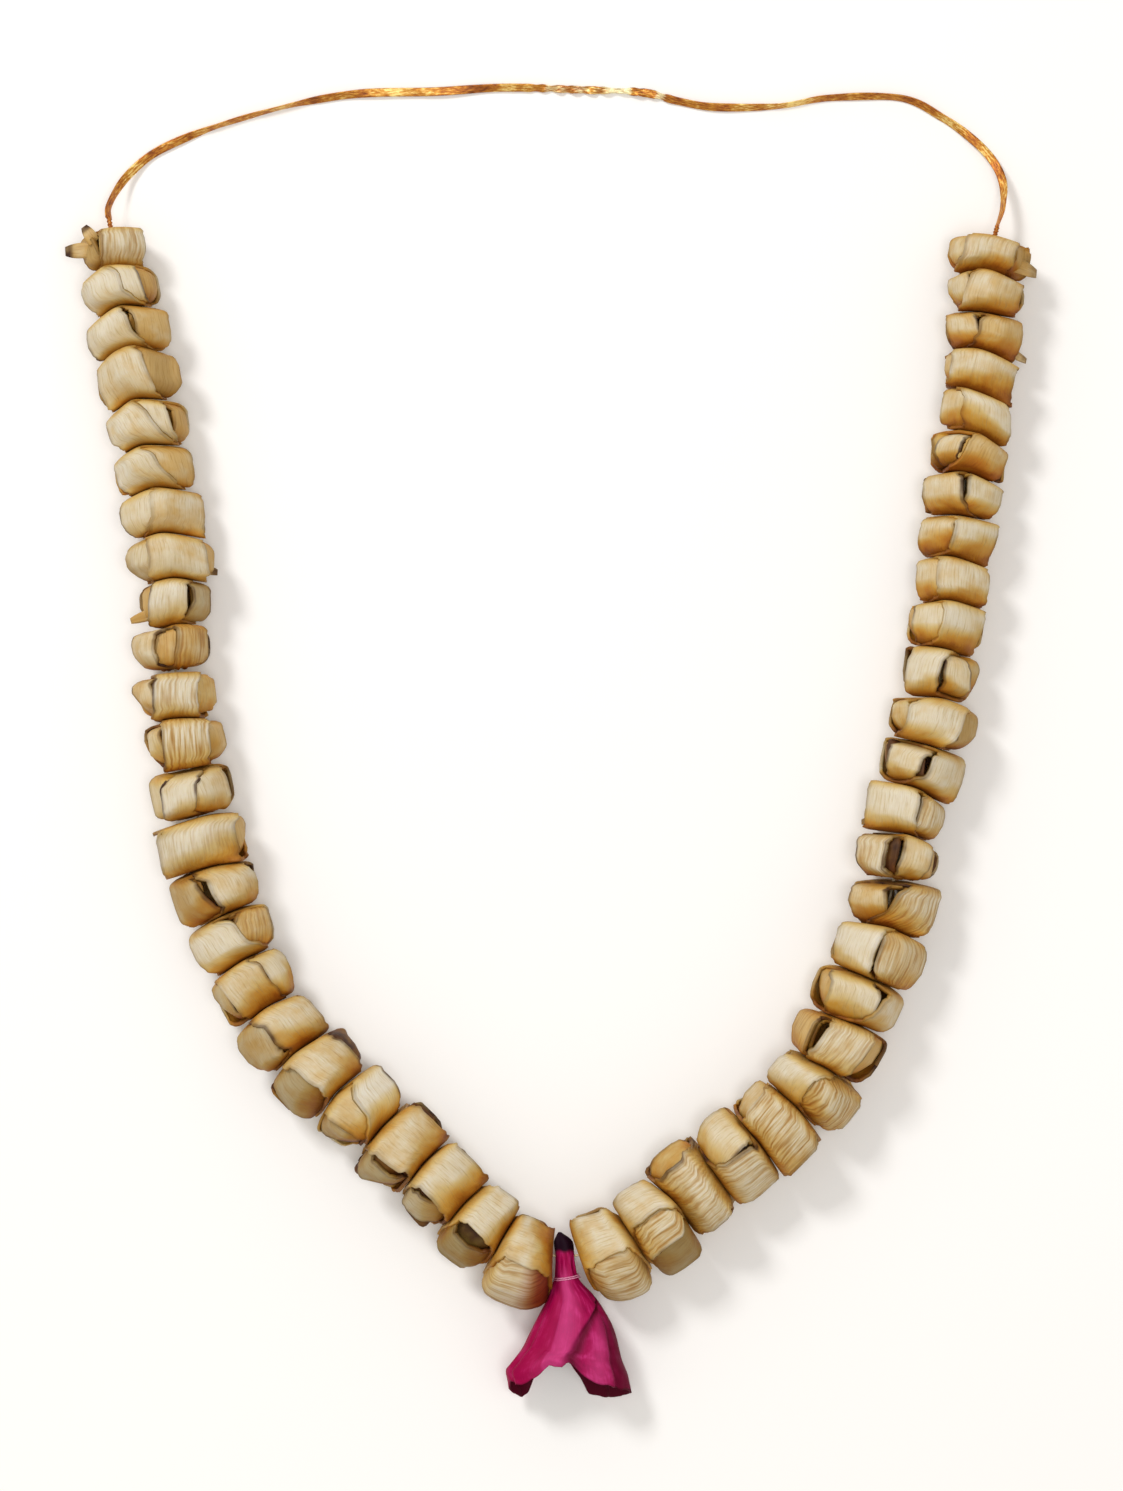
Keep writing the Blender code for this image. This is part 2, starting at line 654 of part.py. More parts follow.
def make_tie(root, fall, finish):
    """The tie: a thread ring round the flower just below its pierced neck."""
    angle = np.arange(TIE_SEGMENTS) * 2 * math.pi / TIE_SEGMENTS
    radius = THREAD_DIAMETER / 2
    middle = flower_ring(TIE_SECTION, angle, radius + TIE_GAP)
    middle[:, 1] += TIE_SLANT * middle[:, 0]
    outward = np.stack([np.cos(angle), np.zeros(TIE_SEGMENTS), np.sin(angle)], axis=1)
    rings = []
    for turn in np.arange(TIE_SIDES) * 2 * math.pi / TIE_SIDES:
        ring = middle + radius * math.cos(turn) * outward
        ring[:, 1] += radius * math.sin(turn)
        rings.append(drooped(ring, root, fall))
    points, faces = skinned(rings, closed_round=True)
    add_object("flower_tie", mesh_from("flower_tie", points, faces), finish)


def main():
    for old in list(bpy.data.objects):
        bpy.data.objects.remove(old)
    shaving = material("sandalwood_shaving", (0.72, 0.58, 0.37), 0.62)
    dyed = material("dyed_shaving", (0.50, 0.008, 0.10), 0.55)
    cotton = material("cotton_thread", (0.80, 0.72, 0.58), 0.9)
    pink = material("pink_tie_thread", (0.80, 0.38, 0.55), 0.85)
    gold = material("gold_ribbon", (0.62, 0.33, 0.07), 0.35, 0.6)
    thread = Thread()
    make_beads(thread, shaving)
    make_thread(thread, cotton)
    make_ribbon(thread, gold)
    make_flower(thread, dyed, pink)


main()
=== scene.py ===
"""The look of a sandalwood-shaving garland with a dyed flower and a gold neck ribbon, lying on a surface."""

import math

import bpy
import numpy as np
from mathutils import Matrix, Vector


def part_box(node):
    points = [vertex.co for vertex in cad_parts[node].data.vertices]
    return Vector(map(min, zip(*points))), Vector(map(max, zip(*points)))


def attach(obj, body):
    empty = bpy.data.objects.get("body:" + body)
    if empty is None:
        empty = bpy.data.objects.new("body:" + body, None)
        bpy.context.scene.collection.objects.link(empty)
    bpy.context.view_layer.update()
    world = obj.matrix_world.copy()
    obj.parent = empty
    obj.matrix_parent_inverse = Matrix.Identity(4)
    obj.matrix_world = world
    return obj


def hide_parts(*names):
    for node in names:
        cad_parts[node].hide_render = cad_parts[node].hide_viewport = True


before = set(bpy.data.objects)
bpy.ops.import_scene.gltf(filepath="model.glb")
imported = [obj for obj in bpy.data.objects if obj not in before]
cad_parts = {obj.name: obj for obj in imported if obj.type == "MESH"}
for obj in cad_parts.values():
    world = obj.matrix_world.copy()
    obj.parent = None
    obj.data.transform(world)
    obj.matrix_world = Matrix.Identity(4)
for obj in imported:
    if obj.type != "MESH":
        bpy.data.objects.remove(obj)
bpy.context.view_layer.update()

# The view.
# The garland lies on a pale level surface, seen from straight above. The light is soft, from the upper
# left, so that each bead throws a small shadow to its lower right.
MM = 0.001
VIEW_HEIGHT = 516.5 * MM
VIEW_MIDDLE = (2.07 * MM, 21.45 * MM)
SHARP_LEVEL = 13 * MM
LENS = 100
SENSOR = 36
FLOOR_SIZE = 4.0
KEY_FROM = (-1.05, 1.35, 1.8)
KEY_SIZE = 0.5
KEY_WATTS = 28
FILL_FROM = (0.2, -0.1, 2.3)
FILL_SIZE = 0.9
FILL_WATTS = 17
SKY_COLOUR = "#FFFBF6"
SKY_STRENGTH = 0.58


def linear(code):
    """An sRGB hex colour as linear red, green, blue and 1: c / 12.92, or ((c + 0.055) / 1.055) ^ 2.4."""
    values = np.array([int(code[k : k + 2], 16) for k in (1, 3, 5)]) / 255
    low = values / 12.92
    high = ((values + 0.055) / 1.055) ** 2.4
    return (*np.where(values <= 0.04045, low, high).tolist(), 1.0)


def new_material(name):
    """A material with its node tree and its Principled shader."""
    made = bpy.data.materials.new(name)
    made.use_nodes = True
    return made, made.node_tree, made.node_tree.nodes["Principled BSDF"]


def feed(tree, made, sockets):
    """Gives a node's inputs their own values, or a link where the value is another node's output."""
    for socket, value in sockets.items():
        if isinstance(value, bpy.types.NodeSocket):
            tree.links.new(value, made.inputs[socket])
        else:
            made.inputs[socket].default_value = value


def node(tree, kind, sockets=(), output=0, stops=(), **settings):
    """An output of a new shader node with these inputs, colour stops (place, hex colour) and properties."""
    made = tree.nodes.new("ShaderNode" + kind)
    for key, value in settings.items():
        setattr(made, key, value)
    feed(tree, made, dict(sockets))
    if stops:
        elements = made.color_ramp.elements
        while len(elements) < len(stops):
            elements.new(0.5)
        for element, (place, code) in zip(elements, stops):
            element.position = place
            element.color = linear(code)
    return made.outputs[output]


def area_light(name, place, size, watts):
    """A square soft light aimed at the middle of the view."""
    light = bpy.data.lights.new(name, "AREA")
    light.size = size
    light.energy = watts
    made = bpy.data.objects.new(name, light)
    bpy.context.scene.collection.objects.link(made)
    made.location = place
    aim = Vector((*VIEW_MIDDLE, 0)) - Vector(place)
    made.rotation_euler = aim.to_track_quat("-Z", "Y").to_euler()


camera = bpy.data.objects.new("camera", bpy.data.cameras.new("camera"))
bpy.context.scene.collection.objects.link(camera)
camera.data.lens = LENS
camera.data.sensor_width = SENSOR
camera.data.dof.use_dof = False
camera.location = (*VIEW_MIDDLE, SHARP_LEVEL + VIEW_HEIGHT * LENS / SENSOR)
bpy.context.scene.camera = camera

# A painted board: matt and nearly white, its mottling too faint to show from a metre and a half away.
paint, tree, shader = new_material("matt_white_board")
mottle = node(tree, "TexNoise", {"Scale": 9.0, "Detail": 2.0})
painted = node(tree, "ValToRGB", {"Fac": mottle}, stops=[(0.3, "#F1EFEC"), (0.7, "#F3F1EF")])
feed(tree, shader, {"Base Color": painted, "Roughness": 0.9})
board = bpy.data.meshes.new("board")
half = FLOOR_SIZE / 2
corners = [(-half, -half, 0), (half, -half, 0), (half, half, 0), (-half, half, 0)]
board.from_pydata(corners, [], [(0, 1, 2, 3)])
board.materials.append(paint)
floor = bpy.data.objects.new("floor", board)
bpy.context.scene.collection.objects.link(floor)

area_light("key_light", KEY_FROM, KEY_SIZE, KEY_WATTS)
area_light("fill_light", FILL_FROM, FILL_SIZE, FILL_WATTS)
sky = bpy.data.worlds.new("sky")
bpy.context.scene.world = sky
sky.use_nodes = True
background = sky.node_tree.nodes["Background"]
feed(sky.node_tree, background, {"Color": linear(SKY_COLOUR), "Strength": SKY_STRENGTH})
bpy.context.scene.view_settings.view_transform = "Standard"

# The neck ribbon.
# A flat tape 3 mm wide, woven of gold-covered thread. It comes out of the top bead of each strand, where
# it is bound to the thread, and lies loose on the surface in between, tilted nearly on edge here and there.
RIBBON_WIDTH = 3.0 * MM
RIBBON_THICKNESS = 0.35 * MM
RIBBON_SHIFT = (-2.26, -1.24)
# x, y and height in mm, in the same places as the ribbon's solid.
RIBBON_ROUTE = [
    (-152.66, 205.34, 12.0), (-152.9, 209.5, 10.3), (-150.4, 216, 6.4), (-146, 222.5, 2.9),
    (-138.2, 229.3, 1.6), (-126, 235.2, 1.6), (-110, 240.8, 1.6), (-88, 246.7, 1.6), (-66.2, 250.3, 1.6),
    (-40, 251, 1.6), (-15.6, 252.4, 1.6), (12, 251.6, 1.6), (32.6, 250.7, 1.6), (45.4, 247.6, 1.6),
    (58, 245.6, 1.6), (80, 245.9, 1.6), (98, 248.8, 1.6), (123, 248.7, 1.6), (137.5, 241.8, 1.6),
    (148, 234.2, 1.7), (154.8, 226.6, 3.2), (157.9, 218.5, 6.6), (157.5, 209.5, 10.3),
    (155.17, 202.24, 12.05),
]
# How far the tape is turned out of flat, in degrees, at parts of its length.
RIBBON_TURNS = [
    (0.0, 50), (0.03, 50), (0.06, 25), (0.1, 25), (0.125, 41), (0.155, 63), (0.2, 68), (0.235, 66),
    (0.26, 41), (0.3, 20), (0.37, 8), (0.435, 35), (0.47, 38), (0.485, 20), (0.52, 20), (0.56, -10),
    (0.585, 35), (0.65, 36), (0.68, 40), (0.7, 66), (0.718, 66), (0.738, 46), (0.82, 46), (0.865, 40),
    (0.9, 5), (0.945, 0), (0.97, 62), (1.0, 70),
]
RIBBON_STEP = 0.8 * MM
RIBBON_COLUMNS = 11
RIBBON_LOWEST = 0.1 * MM
# Where along the tape it is crumpled, and how far to each side of that, as parts of its length.
CRUMPLED_AT = 0.522
CRUMPLED_REACH = 0.06
# It sways about its line and its faces are rippled: how far, and how many radians of a sine lie along it.
SWAY = (0.1, 95)
CRUMPLED_SWAY = (0.5, 410)
RIPPLE = (0.12 * MM, 180)
# How far its gold is worn off there and pale threads show, by parts of its length. It is narrower there,
# by up to this share of its width, with the cube of the wear.
RIBBON_WORN = [
    (0.468, 0.0), (0.474, 0.72), (0.49, 0.6), (0.497, 0.45), (0.505, 0.7), (0.518, 0.5), (0.529, 0.6),
    (0.536, 1.0), (0.552, 0.95), (0.56, 0.1), (0.575, 0.0), (0.581, 0.85), (0.586, 0.85), (0.594, 0.0),
]
WORN_NARROWER = 0.4
# One gold thread is 0.3 mm wide, drawn 0.5 mm wide so that it shows, and is seen for about 2.5 mm before it
# goes under the next. The gold comes in lighter and darker patches. The tape's UV is in units of 100 mm.
GOLD_THREAD = 0.5 * MM
GOLD_THREAD_SEEN = 2.5 * MM
GOLD_PATCH = 14 * MM
UV_UNIT = 100 * MM
# The binding at each end: turns of the same yarn round the cotton thread, from the bead up to the tape.
BINDING_RADIUS = 0.95 * MM
BINDING_TURNS = 5
BINDING_GRID = (41, 16)
BINDING_STARTS = [(-154.0, 199.6, 12.0), (152.0, 197.2, 12.05)]


def smooth_line(knots, step):
    """Points about `step` apart on the Catmull-Rom curve through the knots.

    Between two knots b and c, with a before and d after, and t from 0 to 1, the curve is half of
    2b + (c - a)t + (2a - 5b + 4c - d)t^2 + (3b - a - 3c + d)t^3.
    """
    knots = np.asarray(knots, float)
    ends = np.vstack([2 * knots[0] - knots[1], knots, 2 * knots[-1] - knots[-2]])
    t = np.linspace(0, 1, 24, endpoint=False)[None, :, None]
    a, b, c, d = (ends[k : len(ends) - 3 + k, None, :] for k in range(4))
    line = 0.5 * (2 * b + (c - a) * t + (2 * a - 5 * b + 4 * c - d) * t**2 + (3 * b - a - 3 * c + d) * t**3)
    line = np.vstack([line.reshape(-1, knots.shape[1]), knots[-1:]])
    along = lengths_along(line)
    places = np.linspace(0, along[-1], round(along[-1] / step) + 1)
    return np.stack([np.interp(places, along, line[:, k]) for k in range(line.shape[1])], axis=1)


def lengths_along(line):
    """The length of a line up to each of its points."""
    return np.concatenate([[0.0], np.cumsum(np.linalg.norm(np.diff(line, axis=0), axis=1))])


def unit(vectors):
    """The vectors at length 1."""
    return vectors / np.maximum(np.linalg.norm(vectors, axis=-1, keepdims=True), 1e-12)


def ring(sides):
    """Equal steps round a circle, in radians."""
    return np.arange(sides) * 2 * math.pi / sides


def grid_faces(rows, columns, round_rows=False, round_columns=False):
    """The quads of a grid of points, given row by row, which may close on itself either way.

    They face along the cross product of the rows' way and the columns' way.
    """
    r = np.arange(rows if round_rows else rows - 1)[:, None]
    c = np.arange(columns if round_columns else columns - 1)[None, :]
    r2 = (r + 1) % rows
    c2 = (c + 1) % columns
    corners = [r * columns + c, r2 * columns + c, r2 * columns + c2, r * columns + c2]
    return np.stack(np.broadcast_arrays(*corners), axis=-1).reshape(-1, 4)


def end_faces(row, columns, backwards):
    """The quads that close the end of a tube, joining its columns two by two from both sides inwards."""
    k = np.arange((columns - 2) // 2)
    closing = np.stack([k, k + 1, columns - 2 - k, columns - 1 - k], axis=1)
    return row * columns + (closing[:, ::-1] if backwards else closing)


def surface_piece(name, points, faces, finish, uv, values=()):
    """A smooth piece from points, quads, a UV for each quad's corner and named numbers for each point."""
    mesh = bpy.data.meshes.new(name)
    mesh.vertices.add(len(points))
    mesh.vertices.foreach_set("co", np.asarray(points, np.float32).ravel())
    mesh.loops.add(faces.size)
    mesh.loops.foreach_set("vertex_index", faces.ravel().astype(np.int32))
    mesh.polygons.add(len(faces))
    mesh.polygons.foreach_set("loop_start", np.arange(0, faces.size, 4, dtype=np.int32))
    mesh.update(calc_edges=True)
    mesh.uv_layers.new(name="surface").data.foreach_set("uv", np.asarray(uv, np.float32).ravel())
    for key, value in dict(values).items():
        attribute = mesh.attributes.new(key, "FLOAT", "POINT")
        attribute.data.foreach_set("value", np.asarray(value, np.float32).ravel())
    mesh.polygons.foreach_set("use_smooth", np.ones(len(faces), bool))
    mesh.materials.append(finish)
    mesh.validate()
    made = bpy.data.objects.new(name, mesh)
    bpy.context.scene.collection.objects.link(made)
    return made


def tape_section(columns):
    """A flat tape's outline for width 1 and thickness 1: back across the bottom, then across the top.

    Both faces run from edge to edge; the tape is thinner towards its edges, as 1 - 0.5 x^4.
    """
    across = np.linspace(-1, 1, columns)
    thick = 1 - 0.5 * across**4
    x = np.concatenate([across, across[::-1]]) / 2
    z = np.concatenate([thick, -thick[::-1]]) / 2
    return x, z


def looked_up(x, table):
    """The values at x between the rows of a table of (x, value)."""
    return np.interp(x, *np.array(table).T)


def tube(line, upright, radius, size, capped=True):
    """The points, quads and UV of a tube: rings round a line, whose radius has a row for each of its points.

    A ring starts at right angles to the line and to `upright`, and a point of it at angle a lies at the
    radius times (level cos a + over sin a). The UV is the way along and, at the radius `size`, round it.
    """
    ahead = unit(np.gradient(line, axis=0))
    level = unit(np.cross(upright, ahead))
    over = np.cross(ahead, level)
    rings, sides = radius.shape
    angle = ring(sides)
    cosine, sine = np.cos(angle)[:, None], np.sin(angle)[:, None]
    around = cosine * level[:, None, :] + sine * over[:, None, :]
    points = line[:, None, :] + radius[:, :, None] * around
    faces = grid_faces(rings, sides, round_columns=True)[:, ::-1]
    if capped:
        faces = np.concatenate([faces, end_faces(0, sides, True), end_faces(rings - 1, sides, False)])
    uv = np.stack(np.broadcast_arrays(lengths_along(line)[:, None], angle * size), axis=-1)
    return points.reshape(-1, 3), faces, uv.reshape(-1, 2)


def ribbon_surface(line):
    """The tape's points in rows along its line, their UV, and how worn the tape is at each.

    The tape is turned about its line by RIBBON_TURNS, by a slow sine, and by a quick one where it is
    crumpled, which is exp(-((part of length - at) / reach)^4). A sine along it ripples both of its faces,
    most at the middle of its width x, as 1 - 4 x^2.
    """
    along = lengths_along(line)
    part = along / along[-1]
    ahead = unit(np.gradient(line, axis=0))
    level = unit(np.cross((0, 0, 1), ahead))
    over = np.cross(ahead, level)
    crumpled = np.exp(-(((part - CRUMPLED_AT) / CRUMPLED_REACH) ** 4))
    turned = np.radians(looked_up(part, RIBBON_TURNS))
    sway = SWAY[0] * np.sin(part * SWAY[1])
    turned += sway + crumpled * CRUMPLED_SWAY[0] * np.sin(part * CRUMPLED_SWAY[1])
    wide = np.cos(turned)[:, None] * level + np.sin(turned)[:, None] * over
    thick = np.cross(ahead, wide)
    section_x, section_z = tape_section(RIBBON_COLUMNS)
    ripple = RIPPLE[0] * np.sin(part[:, None] * RIPPLE[1] + section_x * 3) * (0.4 + 1.8 * crumpled[:, None])
    worn = looked_up(part, RIBBON_WORN)[:, None]
    x = (section_x * RIBBON_WIDTH * (1 - WORN_NARROWER * worn**3))[:, :, None]
    z = (section_z[None, :] * RIBBON_THICKNESS + ripple * (1 - 4 * section_x**2))[:, :, None]
    points = line[:, None, :] + x * wide[:, None, :] + z * thick[:, None, :]
    points[:, :, 2] = np.maximum(points[:, :, 2], RIBBON_LOWEST)
    uv = np.broadcast_arrays(along[:, None] / UV_UNIT, (section_x + 0.5) * RIBBON_WIDTH / UV_UNIT)
    return points, np.stack(uv, axis=-1).reshape(-1, 2), np.broadcast_to(worn, points.shape[:2])


# Metallic yarn, flattened gold wire wound round a core and woven flat: warm gold with bright threads that
# run along the tape, deep orange between them, and painted glints where a thread would turn to the light.
gold, tree, shader = new_material("woven_gold_yarn")
place = node(tree, "UVMap", uv_map="surface")
thread_scale = (UV_UNIT / GOLD_THREAD_SEEN, UV_UNIT / GOLD_THREAD, 1.0)
threads = node(tree, "Mapping", {"Vector": place, "Scale": thread_scale})
weave = node(tree, "TexNoise", {"Vector": threads, "Scale": 1.0, "Detail": 2.0, "Roughness": 0.7})
patches = node(
    tree, "TexNoise", {"Vector": place, "Scale": UV_UNIT / GOLD_PATCH, "Detail": 2.0, "Roughness": 0.6}
)
both = node(tree, "Math", {0: weave, 1: patches}, operation="ADD")
bright = node(tree, "Math", {0: both, 1: 0.5}, operation="MULTIPLY")
stops = [(0.36, "#6A340C"), (0.45, "#A65C18"), (0.53, "#C98A2C"), (0.61, "#F2D583")]
# The brightest stop paints glints on the threads.
golden = node(tree, "ValToRGB", {"Fac": bright}, stops=stops)
# The bare threads show in streaks, more of them the more the tape is worn.
wear = node(tree, "Attribute", output="Fac", attribute_name="worn")
streaked = node(tree, "Math", {0: wear, 1: weave, 2: -0.25}, operation="MULTIPLY_ADD")
bare = node(tree, "Math", {0: streaked, 1: 4.0}, operation="MULTIPLY", use_clamp=True)
colour = node(tree, "Mix", {0: bare, 6: golden, 7: linear("#F6EAB6")}, 2, data_type="RGBA")
bump = node(tree, "Bump", {"Height": weave, "Strength": 0.7, "Distance": 0.2 * MM})
feed(tree, shader, {"Base Color": colour, "Metallic": 0.5, "Roughness": 0.4, "Normal": bump})

ribbon_knots = np.array(RIBBON_ROUTE) * MM + np.array([*RIBBON_SHIFT, 0.0]) * MM
ribbon_line = smooth_line(ribbon_knots, RIBBON_STEP)
points, uv, worn = ribbon_surface(ribbon_line)
rows, columns = points.shape[:2]
faces = grid_faces(rows, columns, round_columns=True)
faces = np.concatenate([faces, end_faces(0, columns, False), end_faces(rows - 1, columns, True)])
points = points.reshape(-1, 3)
neck_ribbon = surface_piece("neck_ribbon_tape", points, faces, gold, uv[faces], {"worn": worn})
# A binding's radius has a ridge for each turn of the yarn, and narrows to the thread at both ends of its
# length t, as 1 - |2t - 1|^5.
t = np.linspace(0, 1, BINDING_GRID[0])[:, None]
ridges = 0.86 + 0.14 * np.cos(2 * math.pi * BINDING_TURNS * t - ring(BINDING_GRID[1]))
radius = BINDING_RADIUS * ridges * (1 - np.abs(2 * t - 1) ** 5)
bindings = []
starts, ends = np.array(BINDING_STARTS) * MM, (ribbon_line[2], ribbon_line[-3])
for side, start, end in zip(("left", "right"), starts, ends):
    points, faces, uv = tube(start + t * (end - start), (0, 0, 1), radius, BINDING_RADIUS, capped=False)
    uv = uv[faces] / UV_UNIT
    unworn = {"worn": np.zeros(len(points))}
    bindings.append(surface_piece(f"ribbon_binding_{side}", points, faces, gold, uv, unworn))
    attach(bindings[-1], "root")
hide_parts("neck_ribbon")
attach(neck_ribbon, "root")

# The thread.
# One undyed cotton thread, three plies twisted together, runs through every bead and through the neck of
# the flower. The ribbon is bound to its two ends at the top beads.
THREAD_RADIUS = 0.5 * MM
PLY_TWIST = 2.6 * MM
PLIES = 3
PLY_DEPTH = 0.18
THREAD_STEP = 0.45 * MM
THREAD_SIDES = 12

BEAD_NAMES = [f"bead_left_{k:02d}" for k in range(1, 25)] + [f"bead_right_{k:02d}" for k in range(1, 26)]
FIRST_RIGHT = 24
# The rough line through the beads is led on past both ends by some of its steps, aimed along its last ones.
ROUGH_STEP = 1.0 * MM
LED_ON = 14
AIMED_ALONG = 12


def node_points(name):
    """The separate corner points of a solid of the frame."""
    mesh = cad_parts[name].data
    points = np.empty(len(mesh.vertices) * 3, np.float32)
    mesh.vertices.foreach_get("co", points)
    return np.unique(points.reshape(-1, 3).round(6).astype(float), axis=0)


def nearest_on(line, points):
    """For each point, the number of the line's point that is nearest in plan."""
    gaps = np.linalg.norm(points[:, None, :2] - line[None, :, :2], axis=2)
    return gaps.argmin(axis=1)


def thread_centres():
    """The centres of the rings of the thread's solid, in order from the top left bead.

    Its points are sorted by where they lie on a rough line through the beads, and each ring's four points
    are then next to each other.
    """
    middles = np.array([(np.array(low) + np.array(high)) / 2 for low, high in map(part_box, BEAD_NAMES)])
    neck = np.array([sum(corner) / 2 for corner in zip(*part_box("flower_tie"))])
    rough = smooth_line(np.vstack([middles[:FIRST_RIGHT], neck, middles[FIRST_RIGHT:]]), ROUGH_STEP)
    first_way = (rough[0] - rough[AIMED_ALONG]) / AIMED_ALONG
    last_way = (rough[-1] - rough[-1 - AIMED_ALONG]) / AIMED_ALONG
    start = rough[0] + first_way * np.arange(LED_ON, 0, -1)[:, None]
    end = rough[-1] + last_way * np.arange(1, LED_ON + 1)[:, None]
    rough = np.vstack([start, rough, end])
    points = node_points("thread")
    order = np.argsort(nearest_on(rough, points), kind="stable")
    return points[order].reshape(-1, 4, 3).mean(axis=1)


class ThreadSpace:
    """The space along the thread: a distance along it, an offset towards the inside of the loop, and up."""

    def __init__(self, line):
        self.line = line
        self.along = lengths_along(line)
        ahead = np.gradient(line, axis=0)
        ahead[:, 2] = 0
        self.ahead = unit(ahead)

    def at(self, s, values):
        """Values given for the line's points, at distances s along it."""
        return np.stack([np.interp(s, self.along, values[:, k]) for k in range(values.shape[1])], axis=-1)

    def place(self, s, inward, up):
        """World points. Inward is a quarter turn to the left of the thread's way, and up is up."""
        on_line = self.at(s, self.line)
        ahead = self.at(s, self.ahead)
        across = [on_line[..., 0] - inward * ahead[..., 1], on_line[..., 1] + inward * ahead[..., 0]]
        return np.stack([*across, on_line[..., 2] + up], axis=-1)

    def measure(self, points):
        """The distance along, inward offset and up offset of world points."""
        near = nearest_on(self.line, points)
        gap = points - self.line[near]
        ahead = self.ahead[near]
        s = self.along[near] + (gap * ahead).sum(axis=1)
        inward = gap[:, 1] * ahead[:, 0] - gap[:, 0] * ahead[:, 1]
        return np.stack([s, inward, gap[:, 2]], axis=1)


# Undyed cotton: matt, slightly yellow, fuzzy at its surface.
cotton, tree, shader = new_material("undyed_cotton")
place = node(tree, "TexCoord", output="Object")
fuzz = node(tree, "TexNoise", {"Vector": place, "Scale": 1 / (0.4 * MM), "Detail": 2.0})
colour = node(tree, "ValToRGB", {"Fac": fuzz}, stops=[(0.3, "#B79B6C"), (0.7, "#E2D3B2")])
feed(tree, shader, {"Base Color": colour, "Roughness": 0.95, "Sheen Weight": 0.3})

thread_space = ThreadSpace(smooth_line(thread_centres(), THREAD_STEP))
# Its plies make the radius 1 - d + d cos(plies (angle - twist)).
twist = thread_space.along[:, None] * 2 * math.pi / PLY_TWIST / PLIES
plies = 1 - PLY_DEPTH + PLY_DEPTH * np.cos(PLIES * (ring(THREAD_SIDES) - twist))
points, faces, uv = tube(thread_space.line, (0, 0, 1), THREAD_RADIUS * plies, THREAD_RADIUS)
bead_thread = surface_piece("bead_thread", points, faces, cotton, uv[faces])
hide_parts("thread")
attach(bead_thread, "root")

# The beads.
# Each bead is one planed sandalwood shaving, about 20 mm wide and a few tenths of a millimetre thick. It
# is folded to and fro over two ends that the thread pierces, so that its turns bulge out between them,
# each facing another way. Its cut edges are brown, with a painted shadow line along them, and its grain
# runs along each turn.
SHAVING_THICKNESS = 0.4 * MM
# At a turn's edges the shavings wound under it show as well, so the sheet is this much thicker there.
EDGE_STACK = 0.9 * MM
BEAD_GAP = 0.2 * MM
BEAD_LOWEST = 0.05 * MM
# For each turn, from the outermost in: its points round and across, how far it reaches out and along the
# thread, which is less, the nearer it lies to the bead's core, and how much more golden painted shade it
# has.
TURN_GRIDS = [(60, 22), (56, 18), (48, 14), (40, 12)]
LAYER_REACH = [1.0, 0.96, 0.92, 0.92]
LAYER_ENDS = [1.0, 0.97, 0.93, 0.9]
LAYER_PAINTED_SHADE = [0.0, 0.05, 0.12, 0.12]
# Painted golden shade on the side of a bead that lies lower in the view, standing for light that comes
# through the thin wood there: for some bead numbers, how much.
LOWER_SIDE_PAINTED_GLOW = [
    (0, 0.18), (7, 0.22), (9, 0.34), (16, 0.74), (23, 0.7), (24, 0.26), (31, 0.54), (38, 0.8), (41, 0.92),
    (48, 0.9),
]
# How far an inner turn is held under an outer one, in degrees how near counts as covered and how gently
# that begins, and how often the change is eased round the turn.
TUCK = 0.9 * MM
COVER_ANGLE = 6
COVER_SOFT = 2.5
TUCK_EASINGS = 3
# How much squarer a turn is at the end that lies lower in the view, and at its other end.
SQUARER = (0.4, 2.2)
# How far a turn's edges come in at its ends.
PINCH = 0.13
# The fold at a turn's ends is set back towards its edges, as this times the offset ^ 2.5.
FOLD_SET_BACK = 0.05
# How its low edge and its high edge are frayed: depth, waves round the turn, and which phase they have.
FRAYS = [[(0.035, 3, 0), (0.022, 8, 1), (0.014, 17, 4)], [(0.035, 4, 2), (0.022, 9, 3), (0.014, 15, 5)]]
# How much more golden painted shade the inner face of a sheet has.
BACK_PAINTED_SHADE = 0.3
# The UV is moved on by these for each bead and for each point of a bead's earlier sheets, so that no two of
# them show the same grain.
UV_SHIFT = (0.37, 1e-4)
LOOSE_END_GRID = (13, 5)
LOOSE_END_UV = 10 * MM
# The numbers that a bead has for each point: how much golden painted shade it has, how brown its edges are
# with their painted shadow line, how strongly ridged it is, how much olive painted shade it has, how stained
# it is, and how warm its cream is.
VALUE_NAMES = ["crease", "rim", "ridged", "olive", "stain", "tone"]

# The creases between beads aren't straight: seen from above each is bent to a peak like a low roof. For
# some bead numbers, how steep it is before that bead, and how far inward from the thread its peak is. On
# the right strand the thread runs the other way, so the slope is negative.
CREASE_BENDS = [
    (0, 0.08, 0), (2, 0.4, -3), (7, 0.3, -1), (9, 0.05, 0), (13, 0.12, 2), (18, 0.16, 0), (23.9, 0.1, 2),
    (24, -0.1, 2), (32, -0.12, -2), (39, -0.14, 0), (44, -0.24, 4), (49, -0.12, 2),
]
CREASE_VARIES = 0.07
PEAK_VARIES = 2.5 * MM
PEAK_RADIUS = 3 * MM

BEADS = [[] for _ in BEAD_NAMES]


def ramp(x, start, length):
    """A rise with x from 0 at the start to 1 a length further on, level before and after."""
    return np.clip((x - start) / length, 0, 1)


